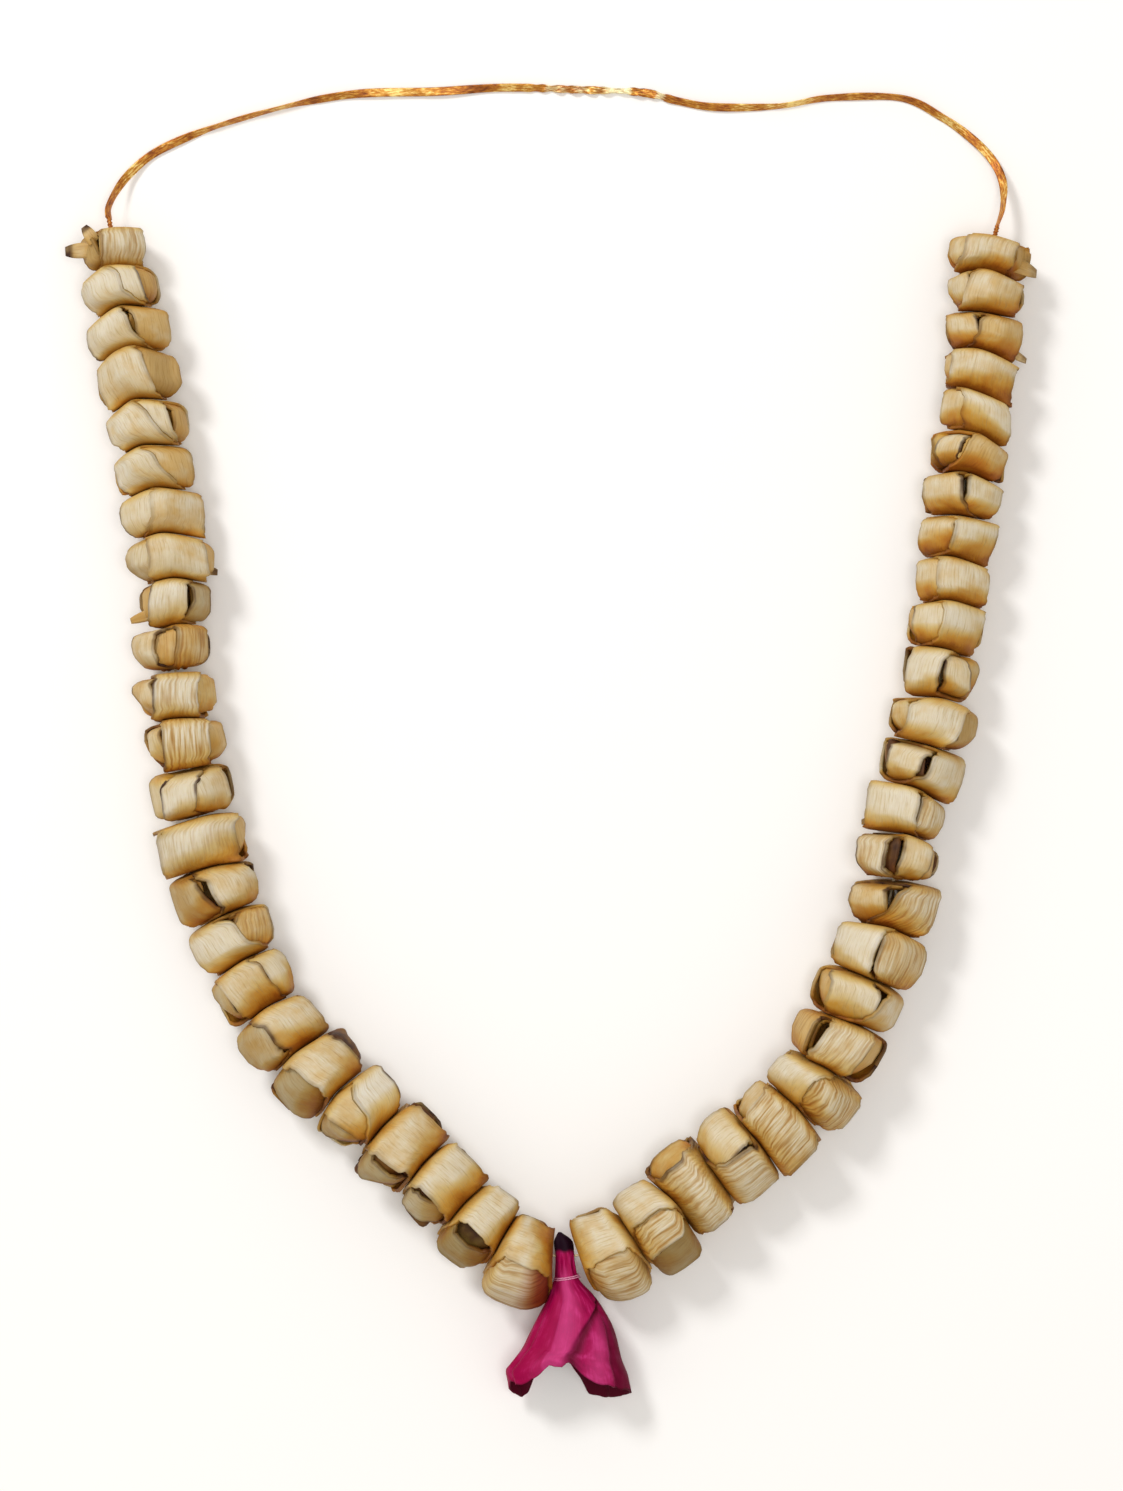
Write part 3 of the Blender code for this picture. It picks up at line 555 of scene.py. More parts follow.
def turn(bead, at, low, high, slant=0, tone=0.35, **more):
    """Adds the next turn inwards to a bead whose radius is 1.

    It faces `at` degrees from straight up towards the inside of the loop, and `slant` degrees more at its
    far end and less at its near end. It runs from `low` to `high` across. The rest, in pairs for its low
    and its high edge, says how far each edge is bowed out half-way along, flared up and brown with a
    painted shadow line, and then how the strip is bent, how its wood looks, how much painted shade it has
    where it lies deep in the bead, and how dark all of it is painted as shade.
    """
    usual = dict(
        bows=(0, 0), flares=(0.035, 0.035), rims=(0.4, 0.4), crown=0.6, square=None, fold=None, roof=None,
        ridged=0, olive=0, deep=0, dark=0, stain=0, sunk=0,
    )
    BEADS[bead].append({**usual, **more, "at": at, "low": low, "high": high, "slant": slant, "tone": tone})


# A turn behind a smaller one, painted dark brown with golden and olive painted shade where it lies in
# shadow, a little shorter out and the full length along.
SHADED_BACKING = dict(dark=0.8, deep=0.3, olive=0.6, ridged=0.5, tone=0.7, ends=1.0, reach=0.92, square=3.0)

# The turns that show on each bead, the outermost first, beginning with the bead's number in the thread's
# order from the top left one. On both strands a positive slant leans like a backslash, seen from above.
# The left strand, downwards. Positive is to the right.
turn(0, 18, -0.6, 0.85, -8, 0.2, flares=(0.12, 0.035), ridged=0.8, square=3.4, roof=(0.0, 0.5))
turn(0, -48, -0.55, 0.45, 20, 0.7, bows=(0, -0.2), flares=(0.035, 0.08), rims=(0.6, 0.4), olive=0.4)
turn(1, -38, -0.65, 0.66, 30, 0.2, bows=(0, 0.05), square=3.5, fold=(0, 0.3))
turn(1, 14, -0.5, 0.4, 16, 0.0, rims=(0.1, 1))
turn(1, 66, -0.45, 0.55, 10, 0.6, rims=(1, 0.4), deep=0.05, stain=0.35, ridged=0.4)
turn(2, -36, -0.68, 0.64, 12, 0.15, bows=(0, 0.06), rims=(1, 0.6), square=3.3, fold=(-0.1, 0.25))
turn(2, 38, -0.52, 0.72, 6, 0.55, bows=(-0.08, 0), rims=(0.8, 0.4))
turn(3, -18, -0.85, 0.58, 16, 0.3, square=3.5, fold=(0.1, 0.35))
turn(3, 44, -0.6, 0.5, -4, 0.7, flares=(0.035, 0.18), rims=(0.4, 0.1), olive=0.35, sunk=0.04, square=2.1)
turn(4, -32, -0.7, 0.7, 34, 0.25, square=3.5)
turn(4, 18, -0.55, 0.44, 16, 0.1, bows=(0, -0.1), rims=(0.4, 0.6))
turn(4, 66, -0.48, 0.6, 6, 0.8, bows=(-0.2, 0), rims=(0.8, 0.9), deep=0.05, ridged=0.3)
turn(5, -30, -0.75, 0.68, 32, 0.2, square=3.5, fold=(0.1, 0.25))
turn(5, 34, -0.7, 0.72, 22, 0.55, rims=(0.2, 0.4))
turn(6, 20, -0.55, 0.95, -14, 0.35, square=3.5, fold=(-0.2, 0.32))
turn(6, -40, -0.5, 0.55, -12, 0.15, rims=(1, 0.4))
turn(6, -66, -0.55, 0.5, 0, deep=0.3, olive=0.5, ends=0.97)
turn(7, 8, -0.55, 0.8, 2, 0.3, square=4.7, crown=0.55)
turn(7, -50, -0.55, 0.46, -10, 0.3, bows=(-0.12, 0), flares=(0.14, 0.035), olive=0.1, square=2.2)
turn(7, 60, -0.42, 0.42, 0, 0.6)
turn(8, -8, -0.62, 0.55, -16, 0.05, rims=(1, 0.5), square=4.1, ridged=0.25)
turn(8, 58, -0.5, 0.6, 8, bows=(-0.2, 0), rims=(0.8, 0.7), olive=0.45)
turn(8, -62, -0.42, 0.5, 10, 0.6, rims=(0.3, 0.4))
turn(9, -48, -0.5, 0.5, -8, 0.4, bows=(0.05, 0), rims=(0.9, 1), square=2.8, ends=0.84)
turn(9, 42, -0.55, 0.68, 10, 0.5, bows=(-0.06, 0), rims=(0.9, 0.4), ridged=0.8)
turn(9, -4, -0.5, 0.42, 0, 0.55, rims=(1, 0.4), ridged=0.4, ends=0.96, reach=0.93)
turn(10, 2, -0.55, 0.64, -10, 0.1, rims=(0.9, 0.4), ridged=0.7, square=4.1)
turn(10, -54, -0.46, 0.42, 8, 0.45, bows=(0, -0.1), rims=(0.9, 0.7), ends=0.84, square=2.6)
turn(10, 58, -0.46, 0.6, 6, bows=(-0.12, 0), rims=(1, 0.4), deep=0.1)
turn(10, -50, -0.6, 0.6, 4, **SHADED_BACKING)
turn(11, 4, -0.6, 0.62, -8, 0.2, rims=(0.7, 0.4), ridged=1, square=4.3)
turn(11, 58, -0.5, 0.6, 6, 0.55, bows=(-0.24, 0), rims=(1, 0.4), square=2.6)
turn(11, -60, -0.44, 0.44, 4, bows=(0, -0.12), rims=(1, 0.8), ends=0.84, square=2.6)
turn(11, -52, -0.6, 0.6, 4, **SHADED_BACKING)
turn(12, -14, -0.5, 0.4, -20, 0.15, rims=(1, 0.9), ends=0.9)
turn(12, 34, -0.7, 0.7, 12, 0.3, rims=(0.5, 0.4))
turn(12, -50, -0.55, 0.7, 10, 0.2, rims=(0.6, 0.8), ends=1.0, reach=0.96)
turn(13, -4, -1.05, 0.95, -18, 0.1, ridged=0.35, square=3.7, crown=0.85)
turn(13, 68, -0.42, 0.5, 0, 0.7, rims=(0.5, 0.4))
turn(14, 30, -0.52, 0.78, 18, 0.35, rims=(0.9, 0.4), square=3.7)
turn(14, -42, -0.62, 0.56, 22, 0.5, bows=(0, -0.08), rims=(0.4, 1), olive=0.35)
turn(15, -26, -0.85, 0.66, 36, 0.2, bows=(0, 0.1), square=3.4)
turn(15, 44, -0.62, 0.52, -24, 0.5, rims=(0.9, 0.8), ridged=0.5, sunk=0.02)
turn(16, -6, -0.58, 0.5, 16, 0.35, rims=(0.4, 0.9), square=3.5)
turn(16, 46, -0.42, 0.55, 26, 0.2, bows=(-0.05, 0), rims=(0.5, 0.4))
turn(16, -60, -0.42, 0.4, -8, bows=(0, -0.14), rims=(0.4, 0.9), olive=0.3)
turn(17, 24, -0.62, 0.85, 20, 0.35, rims=(0.9, 0.4), square=3.5)
turn(17, -44, -0.52, 0.52, -10, 0.4, rims=(0.4, 0.5), olive=0.4)
turn(18, 18, -0.58, 0.74, 13, 0.35, rims=(0.4, 0.9), square=3.6)
turn(18, -44, -0.62, 0.52, -8, 0.3, olive=0.55, square=2.6)
turn(18, 66, -0.55, 0.5, 0, dark=0.9, deep=0.5, ends=1.0, reach=1.03)
turn(19, 34, -0.46, 0.66, -26, 0.0, rims=(0.3, 0.9), square=3.5)
turn(19, 2, -0.5, 0.55, 10, 0.35, rims=(0.5, 0.4), deep=0.06, square=3.5)
turn(19, -54, -0.5, 0.5, -6, 0.4, rims=(1, 0.9), olive=0.45, ends=0.9)
turn(20, 18, -0.58, 0.88, 12, 0.4, rims=(0.6, 0.4), square=3.7)
turn(20, -50, -0.46, 0.44, -6, 0.3, bows=(0, -0.06), rims=(1, 1), olive=0.6, ends=0.9)
turn(20, -50, -0.6, 0.62, -6, **SHADED_BACKING)
turn(21, 20, -0.62, 0.85, 4, 0.2, rims=(0.5, 0.5), square=3.7)
turn(21, -48, -0.46, 0.44, 6, 0.2, rims=(1, 1), olive=0.4, ends=0.88, square=2.8)
turn(21, -50, -0.6, 0.6, 4, **SHADED_BACKING)
turn(22, 26, -0.66, 0.8, 4, 0.2, bows=(-0.1, 0), rims=(0.15, 0.4), square=3.6)
turn(22, -54, -0.6, 0.42, -14, bows=(0, -0.2), flares=(0.06, 0.035), rims=(0.3, 0.6), olive=0.75)
turn(22, -40, -0.6, 0.5, -6, dark=0.9, olive=1, ends=0.9, reach=0.72)
turn(23, 20, -0.64, 0.88, 6, 0.4, bows=(-0.1, 0), rims=(0.2, 0.4), square=3.7)
turn(23, -42, -0.7, 0.66, 8, 0.15, rims=(0.4, 0.5), ridged=0.8, stain=0.95, square=2.6)
# The right strand, upwards. Positive is to the left.
turn(24, 26, -0.62, 0.85, -4, 0.3, bows=(-0.12, 0), flares=(0.07, 0.035), rims=(0.1, 0.4), square=3.7)
turn(24, -38, -0.72, 0.74, 0, 0.3, rims=(0.2, 0.4), ridged=0.9, square=3.0, ends=0.93)
turn(25, 40, -0.45, 0.62, -12, 0.25, square=3.5)
turn(25, 2, -0.4, 0.42, 14, 0.3, bows=(0.04, 0), rims=(0.6, 0.4), ridged=1)
turn(25, -48, -0.56, 0.5, 8, 0.4, rims=(0.4, 0.9), olive=0.75, ends=0.94)
turn(26, -8, -0.95, 0.84, 8, 0.25, rims=(0.4, 0.8), ridged=0.8, square=3.3)
turn(26, 56, -0.6, 0.5, 0, 0.4, rims=(1, 1), deep=0.2, ends=0.96)
turn(27, -34, -0.7, 0.62, -8, 0.3, rims=(0.4, 0.9), ridged=0.8)
turn(27, 38, -0.62, 0.68, 8, 0.25, bows=(0.02, 0), rims=(0.8, 0.4))
turn(28, -6, -1.0, 0.85, 12, 0.3, rims=(0.6, 0.4), ridged=1)
turn(28, 58, -0.42, 0.5, 0, 0.4)
turn(29, 32, -0.5, 0.78, -12, 0.15, rims=(0.3, 0.4), square=3.5)
turn(29, -34, -0.85, 0.62, 10, 0.3, rims=(0.4, 0.5), ridged=1, square=3.2)
turn(30, -6, -0.48, 0.5, -6, 0.25, rims=(0.5, 0.5), ridged=0.7, square=4.3)
turn(30, 66, -0.48, 0.5, 0, 0.6, bows=(-0.06, 0), rims=(1, 0.4), ridged=0.6)
turn(30, -54, -0.6, 0.55, 10, 0.75, rims=(0.4, 0.8))
turn(31, -56, -0.6, 0.5, -14, 0.4, bows=(0, -0.06), rims=(0.4, 0.5))
turn(31, 10, -0.56, 0.56, 14, 0.15, bows=(0.06, 0.06), rims=(0.9, 0.9))
turn(31, 64, -0.55, 0.5, 0, 0.6, rims=(0.8, 0.4))
turn(32, 34, -0.52, 0.72, -6, 0.1, square=3.4)
turn(32, -36, -0.72, 0.58, 14, 0.35, bows=(0, 0.08), rims=(0.4, 0.9), ridged=0.8)
turn(33, -32, -0.75, 0.52, -24, 0.3, rims=(0.4, 0.9), ridged=0.8, square=4.1)
turn(33, 42, -0.6, 0.58, 4, 0.45, bows=(-0.04, 0), rims=(0.9, 1), ends=0.9)
turn(34, 46, -0.48, 0.48, 2, 0.3, rims=(0.9, 1), ridged=0.6, ends=0.86, square=2.8)
turn(34, -26, -0.4, 0.5, 0, 0.35, bows=(0, -0.14), rims=(0.9, 0.9))
turn(34, -60, -0.42, 0.5, 0, 0.75, rims=(0.4, 0.6))
turn(34, 46, -0.64, 0.66, 2, **SHADED_BACKING)
turn(35, 20, -0.52, 0.95, 5, 0.15, square=3.4)
turn(35, -42, -0.62, 0.5, -8, 0.2, rims=(0.4, 0.6), ridged=0.7)
turn(36, -36, -0.72, 0.56, -14, 0.3, rims=(0.4, 0.6), square=3.4)
turn(36, 34, -0.52, 0.5, -10, 0.25, rims=(0.8, 1), ends=0.86, square=3.0)
turn(36, 36, -0.62, 0.6, 4, **SHADED_BACKING)
turn(37, -4, -0.5, 0.7, -18, 0.25, square=4.7, crown=0.55)
turn(37, -60, -0.52, 0.42, 0, 0.6, bows=(0, -0.06), rims=(0.4, 0.8), olive=0.35)
turn(37, 58, -0.4, 0.45, 14, 0.35, rims=(0.4, 0.5))
turn(38, 34, -0.56, 0.6, -16, 0.2, rims=(0.5, 0.4), square=3.3)
turn(38, -34, -0.34, 0.44, 8, 0.3, rims=(1, 1), ends=0.84, square=2.8)
turn(38, -52, -0.62, 0.75, 4, 0.35, rims=(0.6, 1), olive=0.2, ends=1.0, reach=0.95)
turn(39, -26, -0.78, 0.62, 0, 0.2, rims=(0.4, 0.2), square=4.7, crown=0.6)
turn(39, 32, -0.5, 0.46, 0, 0.2, rims=(0.2, 0.9))
turn(39, 66, -0.4, 0.5, 6, 0.55, rims=(0.9, 0.4))
turn(40, -10, -0.95, 0.6, 6, 0.3, square=3.7, ridged=0.2)
turn(40, 50, -0.6, 0.55, 6, 0.3, rims=(0.3, 0.4))
turn(41, -24, -0.85, 0.62, -2, 0.25, square=4.5, crown=0.6)
turn(41, 44, -0.56, 0.6, -8, 0.4)
turn(42, 36, -0.55, 0.62, 14, 0.35, rims=(0.9, 0.4), square=3.4)
turn(42, -34, -0.62, 0.68, -12, 0.25, bows=(0, -0.08), rims=(0.4, 0.8))
turn(43, -28, -0.8, 0.66, -22, 0.55, rims=(0.4, 0.3), square=3.5)
turn(43, 40, -0.34, 0.4, -14, 0.3, rims=(1, 1), ends=0.76, square=2.4)
turn(43, 44, -0.8, 0.58, -6, 0.3, rims=(0.8, 0.6), deep=0.2, ends=1.0, reach=0.96)
turn(44, -14, -0.88, 0.64, 18, 0.2, square=3.3)
turn(44, 52, -0.52, 0.52, -10, 0.35, rims=(0.2, 0.4))
turn(45, 0, -1.0, 1.0, -6, 0.3, square=3.6, crown=0.8, ridged=0.2)
turn(45, 70, -0.4, 0.4, 0, 0.5)
turn(46, -26, -0.8, 0.58, -10, 0.55, rims=(0.4, 0.8), square=3.4)
turn(46, 44, -0.58, 0.52, 12, 0.4, bows=(-0.04, 0), rims=(1, 0.4))
turn(47, -6, -0.9, 0.7, -16, 0.45, square=3.4)
turn(47, 56, -0.5, 0.52, 6, 0.3)
turn(48, 4, -0.62, 0.7, -14, 0.35, square=3.6, ridged=0.3)
turn(48, -52, -0.55, 0.45, 20, 1.0, bows=(0, -0.2), flares=(0.16, 0.035), olive=0.2, deep=0.1)
turn(48, 60, -0.42, 0.5, -8, 0.4, rims=(0.5, 0.4))
# Inside a bead that shows two or three turns, one more faces sideways, so that its hollow is all but closed;
# it is painted dark brown and golden as shade.
for bead, turns in enumerate(BEADS):
    if len(turns) < len(TURN_GRIDS):
        turn(bead, turns[0]["at"] + 90, -0.6, 0.6, dark=0.5, deep=0.3, crown=0.8, reach=0.82, ends=0.86)

# The shaving's loose ends: the bead's number in the thread's order, where the end comes out and where it
# stops (along, inward and up, in mm from the bead's middle), its width and bend in mm, how dark its tip is.
LOOSE_ENDS = [
    (0, (-0.6, -7.0, 5.0), (-3.2, -16.6, 2.0), 4.8, 1.2, 1.4),
    (0, (-2.6, -5.4, 7.0), (-8.6, -8.4, 6.0), 4.4, 1.2, 1.4),
    (7, (2.5, 8.0, 2.0), (3.2, 16.4, 0.5), 4.6, 1.6, 0.7),
    (8, (3.0, -5.0, 2.0), (4.2, -14.6, 0.0), 4.4, 1.0, 0.0),
    (35, (-3.6, 8.0, -1.0), (-5.6, 14.6, -3.0), 3.4, 1.4, 0.6),
    (46, (-3.0, -8.0, 0.0), (-4.0, -15.6, 1.0), 3.0, 1.0, 0.8),
    (48, (-1.0, -7.0, 4.0), (-1.5, -16.4, 1.6), 6.0, 2.0, 0.5),
]


def turn_surface(shape, rows, columns, side, draw):
    """One turn's outer face for radius 1 and half length 1: rows round the turn by columns across it.

    With c and s the cosine and sine of the angle round the turn, the turn reaches out by |c|^(2/n) and
    goes along the thread by |s|^(2/n), which is a squared ellipse. Across its width x the strip follows a
    round bead in part: out by (1 - crown) + crown cos x, and sideways by (1 - crown) x + crown sin x. It is
    also folded along a line near x = fold, and falls away from it on both sides as steeply as is given.
    The half that lies lower in the view (side tells which) is less square, and past a crease that crosses
    the strip aslant it falls away like the lower side of a roof. The edges are frayed and the strip is
    dented by small sines. The angle starts underneath, so that the seam of its UV is out of sight. Also
    given are the angle, the place across from -1 to 1, and how far each point is past the crease.
    """
    angle = ring(rows)[:, None] - math.pi
    even = np.linspace(-1, 1, columns)[None, :]
    v = 0.6 * even + 0.4 * np.sin(even * math.pi / 2)
    cosine, sine = np.cos(angle), np.sin(angle)
    middle = np.clip(cosine, 0, 1) ** 2
    power = 2 / ((shape["square"] or draw.uniform(3.2, 4.6)) + np.where(side * sine > 0, *SQUARER))
    phase = draw.uniform(0, 2 * math.pi, 8)
    frayed = [sum(deep * np.sin(waves * angle + phase[k]) for deep, waves, k in fray) for fray in FRAYS]
    narrowed = 1 - PINCH * sine**2
    low = shape["low"] * narrowed - shape["bows"][0] * middle + frayed[0]
    high = shape["high"] * narrowed + shape["bows"][1] * middle + frayed[1]
    x = low + (high - low) * (v + 1) / 2
    crown = shape["crown"] * np.abs(cosine) ** 1.2
    sideways = (1 - crown) * x + crown * np.sin(x)
    raised = (1 - crown) + crown * np.cos(x)
    fold, steepness = shape["fold"] or (draw.uniform(-0.4, 0.4), draw.uniform(0.04, 0.2))
    from_fold = x - fold - 0.12 * np.sin(angle + phase[0]) - 0.1 * sine
    raised = raised - steepness * (np.sqrt(from_fold**2 + 0.03**2) - 0.03)
    flare = shape["flares"][0] * np.clip(-v, 0, 1) ** 8 + shape["flares"][1] * np.clip(v, 0, 1) ** 8
    dents = 0.026 * np.sin(2.4 * v + phase[4]) * np.sin(2 * angle + phase[5])
    dents = dents + 0.012 * np.sin(4 * v + 2 * angle + phase[6]) * np.sin(5 * angle + phase[7])
    out = np.sign(cosine) * np.abs(cosine) ** power * (shape["reach"] - shape["sunk"] * middle)
    along = np.sign(sine) * np.abs(sine) ** power
    creased, slope = shape["roof"] or (draw.uniform(-0.1, 0.4), draw.uniform(0.22, 0.4))
    past = side * along - creased - draw.uniform(-0.4, 0.4) * v - 0.05 * np.sin(4 * v + phase[3])
    past = (past + np.sqrt(past**2 + 0.04**2)) / 2
    reach = out * (raised + flare * middle + dents - slope * past)
    along = along * shape["ends"]
    along = along * (1 - FOLD_SET_BACK * np.clip(np.abs(x), 0, 1.2) ** 2.5)
    facing = np.radians(shape["at"] + shape["slant"] * sine)
    inward = reach * np.sin(facing) + sideways * np.cos(facing)
    up = reach * np.cos(facing) - sideways * np.sin(facing)
    grid = np.stack(np.broadcast_arrays(along, inward, up), axis=-1)
    return grid, np.broadcast_to(angle, grid.shape[:2]), np.broadcast_to(v, grid.shape[:2]), past


def shared_face(lower, higher):
    """The flat face between two beads: distance along = a + b inward + c up, as (a, b, c).

    In each quarter round the thread, the lower bead's furthest corner and the higher bead's nearest one
    are taken, and the plane is the least-squares one through them.
    """
    corners = []
    for points, pick in ((lower, np.argmax), (higher, np.argmin)):
        if points is None:
            continue
        for inside in (points[:, 1] > 0, points[:, 1] <= 0):
            for above in (points[:, 2] > 0, points[:, 2] <= 0):
                quarter = points[inside & above]
                corners.append(quarter[pick(quarter[:, 0])])
    corners = np.array(corners)
    basis = np.column_stack([np.ones(len(corners)), corners[:, 1:]])
    return np.linalg.lstsq(basis, corners[:, 0], rcond=None)[0]


def on_face(face, inward, up):
    """Where a shared face is along the thread: its plane, with the crease's bend added.

    The bend is steepness times (the square root of (inward - peak)^2 + r^2, less r), which is a roof with
    a rounded ridge.
    """
    plane, steepness, peak = face
    roof = np.sqrt((inward - peak) ** 2 + PEAK_RADIUS**2) - PEAK_RADIUS
    return plane[0] + plane[1] * inward + plane[2] * up + steepness * roof


def normals_of(points, closed):
    """Unit normals of a grid of points: the rows' way crossed with the columns' way."""
    if closed:
        down = np.roll(points, -1, axis=0) - np.roll(points, 1, axis=0)
    else:
        down = np.gradient(points, axis=0)
    return unit(np.cross(down, np.gradient(points, axis=1)))


def sheet_faces(rows, columns, closed):
    """The quads of a sheet with two faces and a rim, its second face's points following its first's."""
    count = rows * columns
    front = grid_faces(rows, columns, round_rows=closed)
    back = front[:, ::-1] + count
    r = np.arange(rows if closed else rows - 1)
    r2 = (r + 1) % rows
    low = np.stack([r * columns, r * columns + count, r2 * columns + count, r2 * columns], axis=1)
    high = [r * columns, r2 * columns, r2 * columns + count, r * columns + count]
    high = np.stack(high, axis=1) + columns - 1
    parts = [front, back, low, high]
    if not closed:
        c = np.arange(columns - 1)
        start = np.stack([c, c + 1, c + 1 + count, c + count], axis=1)
        parts += [start, start[:, ::-1] + (rows - 1) * columns]
    return np.concatenate(parts)


def corner_uv(uv, faces, period):
    """The UV at each quad's corners; a quad over the seam has its low side moved on by a whole period."""
    corners = uv[faces]
    u = corners[:, :, 0]
    over_seam = (u.max(axis=1) - u.min(axis=1)) > period / 2
    u[over_seam[:, None] & (u < u.max(axis=1)[:, None] - period / 2)] += period
    return corners


# Planed sandalwood, never sanded or oiled: pale cream, matt, with fine lines along its grain and coarser
# ridges where the plane tore it. Golden painted shade lies in its creases, deep in each bead and on the side
# that lies lower in the view, standing for light that comes through the thin wood, and inner turns have an
# olive painted shade. Its cut edges are brown, with a painted shadow line along them. Its colour is a mix by
# the piece's own numbers for each point.
GRAIN_SPACING = 0.6 * MM
RIDGE_SPACING = 1.0 * MM
PATCH_SIZE = 7 * MM
# A line of the grain is drawn this many times as long as it is wide.
GRAIN_LENGTH = 12
shaving, tree, shader = new_material("planed_sandalwood")
place = node(tree, "UVMap", uv_map="surface")
crease, rim, ridged, olive, stain, tone = (
    node(tree, "Attribute", output="Fac", attribute_name=name) for name in VALUE_NAMES
)
# The UV is in metres along and across the strip.
lengthwise = node(tree, "Mapping", {"Vector": place, "Scale": (1 / GRAIN_LENGTH, 1, 1)})
grain, ridges = (
    node(tree, "TexNoise", {"Vector": lengthwise, "Scale": 1 / wide, "Detail": detail, "Roughness": rough})
    for wide, detail, rough in ((GRAIN_SPACING, 3.0, 0.6), (RIDGE_SPACING, 1.0, 0.5))
)
patches = node(tree, "TexNoise", {"Vector": place, "Scale": 1 / PATCH_SIZE, "Detail": 3.0})
cream = node(tree, "Math", {0: patches, 1: 0.9, 2: tone}, operation="MULTIPLY_ADD")
streaked = node(tree, "Math", {0: grain, 1: patches}, operation="ADD")
# Painted golden shade, streaked by the grain.
creased = node(tree, "Math", {0: crease, 1: streaked}, operation="MULTIPLY", use_clamp=True)
colour, grain_tint, ridge_tint, painted_shade_tint = (
    node(tree, "ValToRGB", {"Fac": source}, stops=stops)
    for source, stops in (
        (cream, [(0.35, "#D6D0C3"), (0.7, "#CFC4AC"), (1.0, "#C5A974")]),
        (grain, [(0.3, "#D6C49E"), (0.46, "#F5EEE0"), (0.7, "#FFFFFF")]),
        (ridges, [(0.34, "#CFAE78"), (0.46, "#ECDFC4"), (0.58, "#FFFFFF")]),
        (creased, [(0, "#FFFFFF"), (0.25, "#F4E0A8"), (0.5, "#EABC58"), (0.75, "#DA9C30"), (1, "#B87820")]),
    )
)
# Grain and ridges, then the golden and the olive painted shade, then the stains, each multiplied in.
for share, tint in (
    (0.8, grain_tint),
    (ridged, ridge_tint),
    (1.0, painted_shade_tint),
    (olive, linear("#A3924F")),
    (stain, linear("#B0532C")),
):
    colour = node(tree, "Mix", {0: share, 6: colour, 7: tint}, 2, data_type="RGBA", blend_type="MULTIPLY")
# The brown of a cut edge and the painted shadow line along it come and go along it; a turn painted dark as
# shade is this brown all over.
browned_and_shaded = node(tree, "Math", {0: patches, 1: 1.7}, operation="MULTIPLY")
edge_share = node(tree, "Math", {0: browned_and_shaded, 1: rim}, operation="MULTIPLY", use_clamp=True)
colour = node(tree, "Mix", {0: edge_share, 6: colour, 7: linear("#3A1E08")}, 2, data_type="RGBA")
raised_ridges = node(tree, "Math", {0: ridges, 1: ridged}, operation="MULTIPLY")
heights = node(tree, "Math", {0: grain, 1: 0.3, 2: raised_ridges}, operation="MULTIPLY_ADD")
bump = node(tree, "Bump", {"Height": heights, "Strength": 0.8, "Distance": 0.5 * MM})
feed(tree, shader, {"Base Color": colour, "Roughness": 0.6, "Specular IOR Level": 0.3, "Normal": bump})
red_first = (1.0, 0.6, 0.2)
feed(tree, shader, {"Subsurface Weight": 0.08, "Subsurface Radius": red_first, "Subsurface Scale": 1.5 * MM})


def loose_end(start, end, width, bend, dark):
    """A free end of the shaving: a strip from start to end that bends up between them and narrows.

    At part t of its length it is bend sin(pi t) above the straight line, and 1 - t^3 / 2 of its width. Its
    tip is dark.
    """
    t = np.linspace(0, 1, LOOSE_END_GRID[0])[:, None, None]
    v = np.linspace(-1, 1, LOOSE_END_GRID[1])[None, :, None]
    start, end = np.array(start) * MM, np.array(end) * MM
    across = unit(np.cross((0.3, 0.2, 1.0), end - start))
    line = start + (end - start) * t + np.array([0, 0, bend * MM]) * np.sin(math.pi * t)
    points = line + v * across * width * MM / 2 * (1 - t**3 / 2)
    tip = ramp(t, 0.64, 0.2) * dark
    return points, np.broadcast_to(tip[:, :, 0], LOOSE_END_GRID)


def tuck_under(inner, outer):
    """Moves an inner turn's points to just under an outer turn, where that covers them.

    A point counts as covered when it is seen from the bead's middle within COVER_ANGLE of a point of the
    outer turn; its radius is then held to that point's, less TUCK.
    """
    inner_radius = np.linalg.norm(inner, axis=-1)
    outer_radius = np.linalg.norm(outer, axis=-1).ravel()
    seen = unit(inner).reshape(-1, 3) @ unit(outer).reshape(-1, 3).T
    nearest = seen.argmax(axis=1)
    off = np.degrees(np.arccos(np.clip(seen.max(axis=1), -1, 1))).reshape(inner_radius.shape)
    limit = (outer_radius[nearest] - TUCK).reshape(inner_radius.shape)
    covered = np.clip((COVER_ANGLE - off) / COVER_SOFT, 0, 1)
    moved = np.minimum(limit - inner_radius, 0) * covered
    for _ in range(TUCK_EASINGS):
        eased = (2 * moved + np.roll(moved, 1, axis=0) + np.roll(moved, -1, axis=0)) / 4
        moved = np.minimum(moved, eased)
    return inner * (1 + moved / inner_radius)[:, :, None]


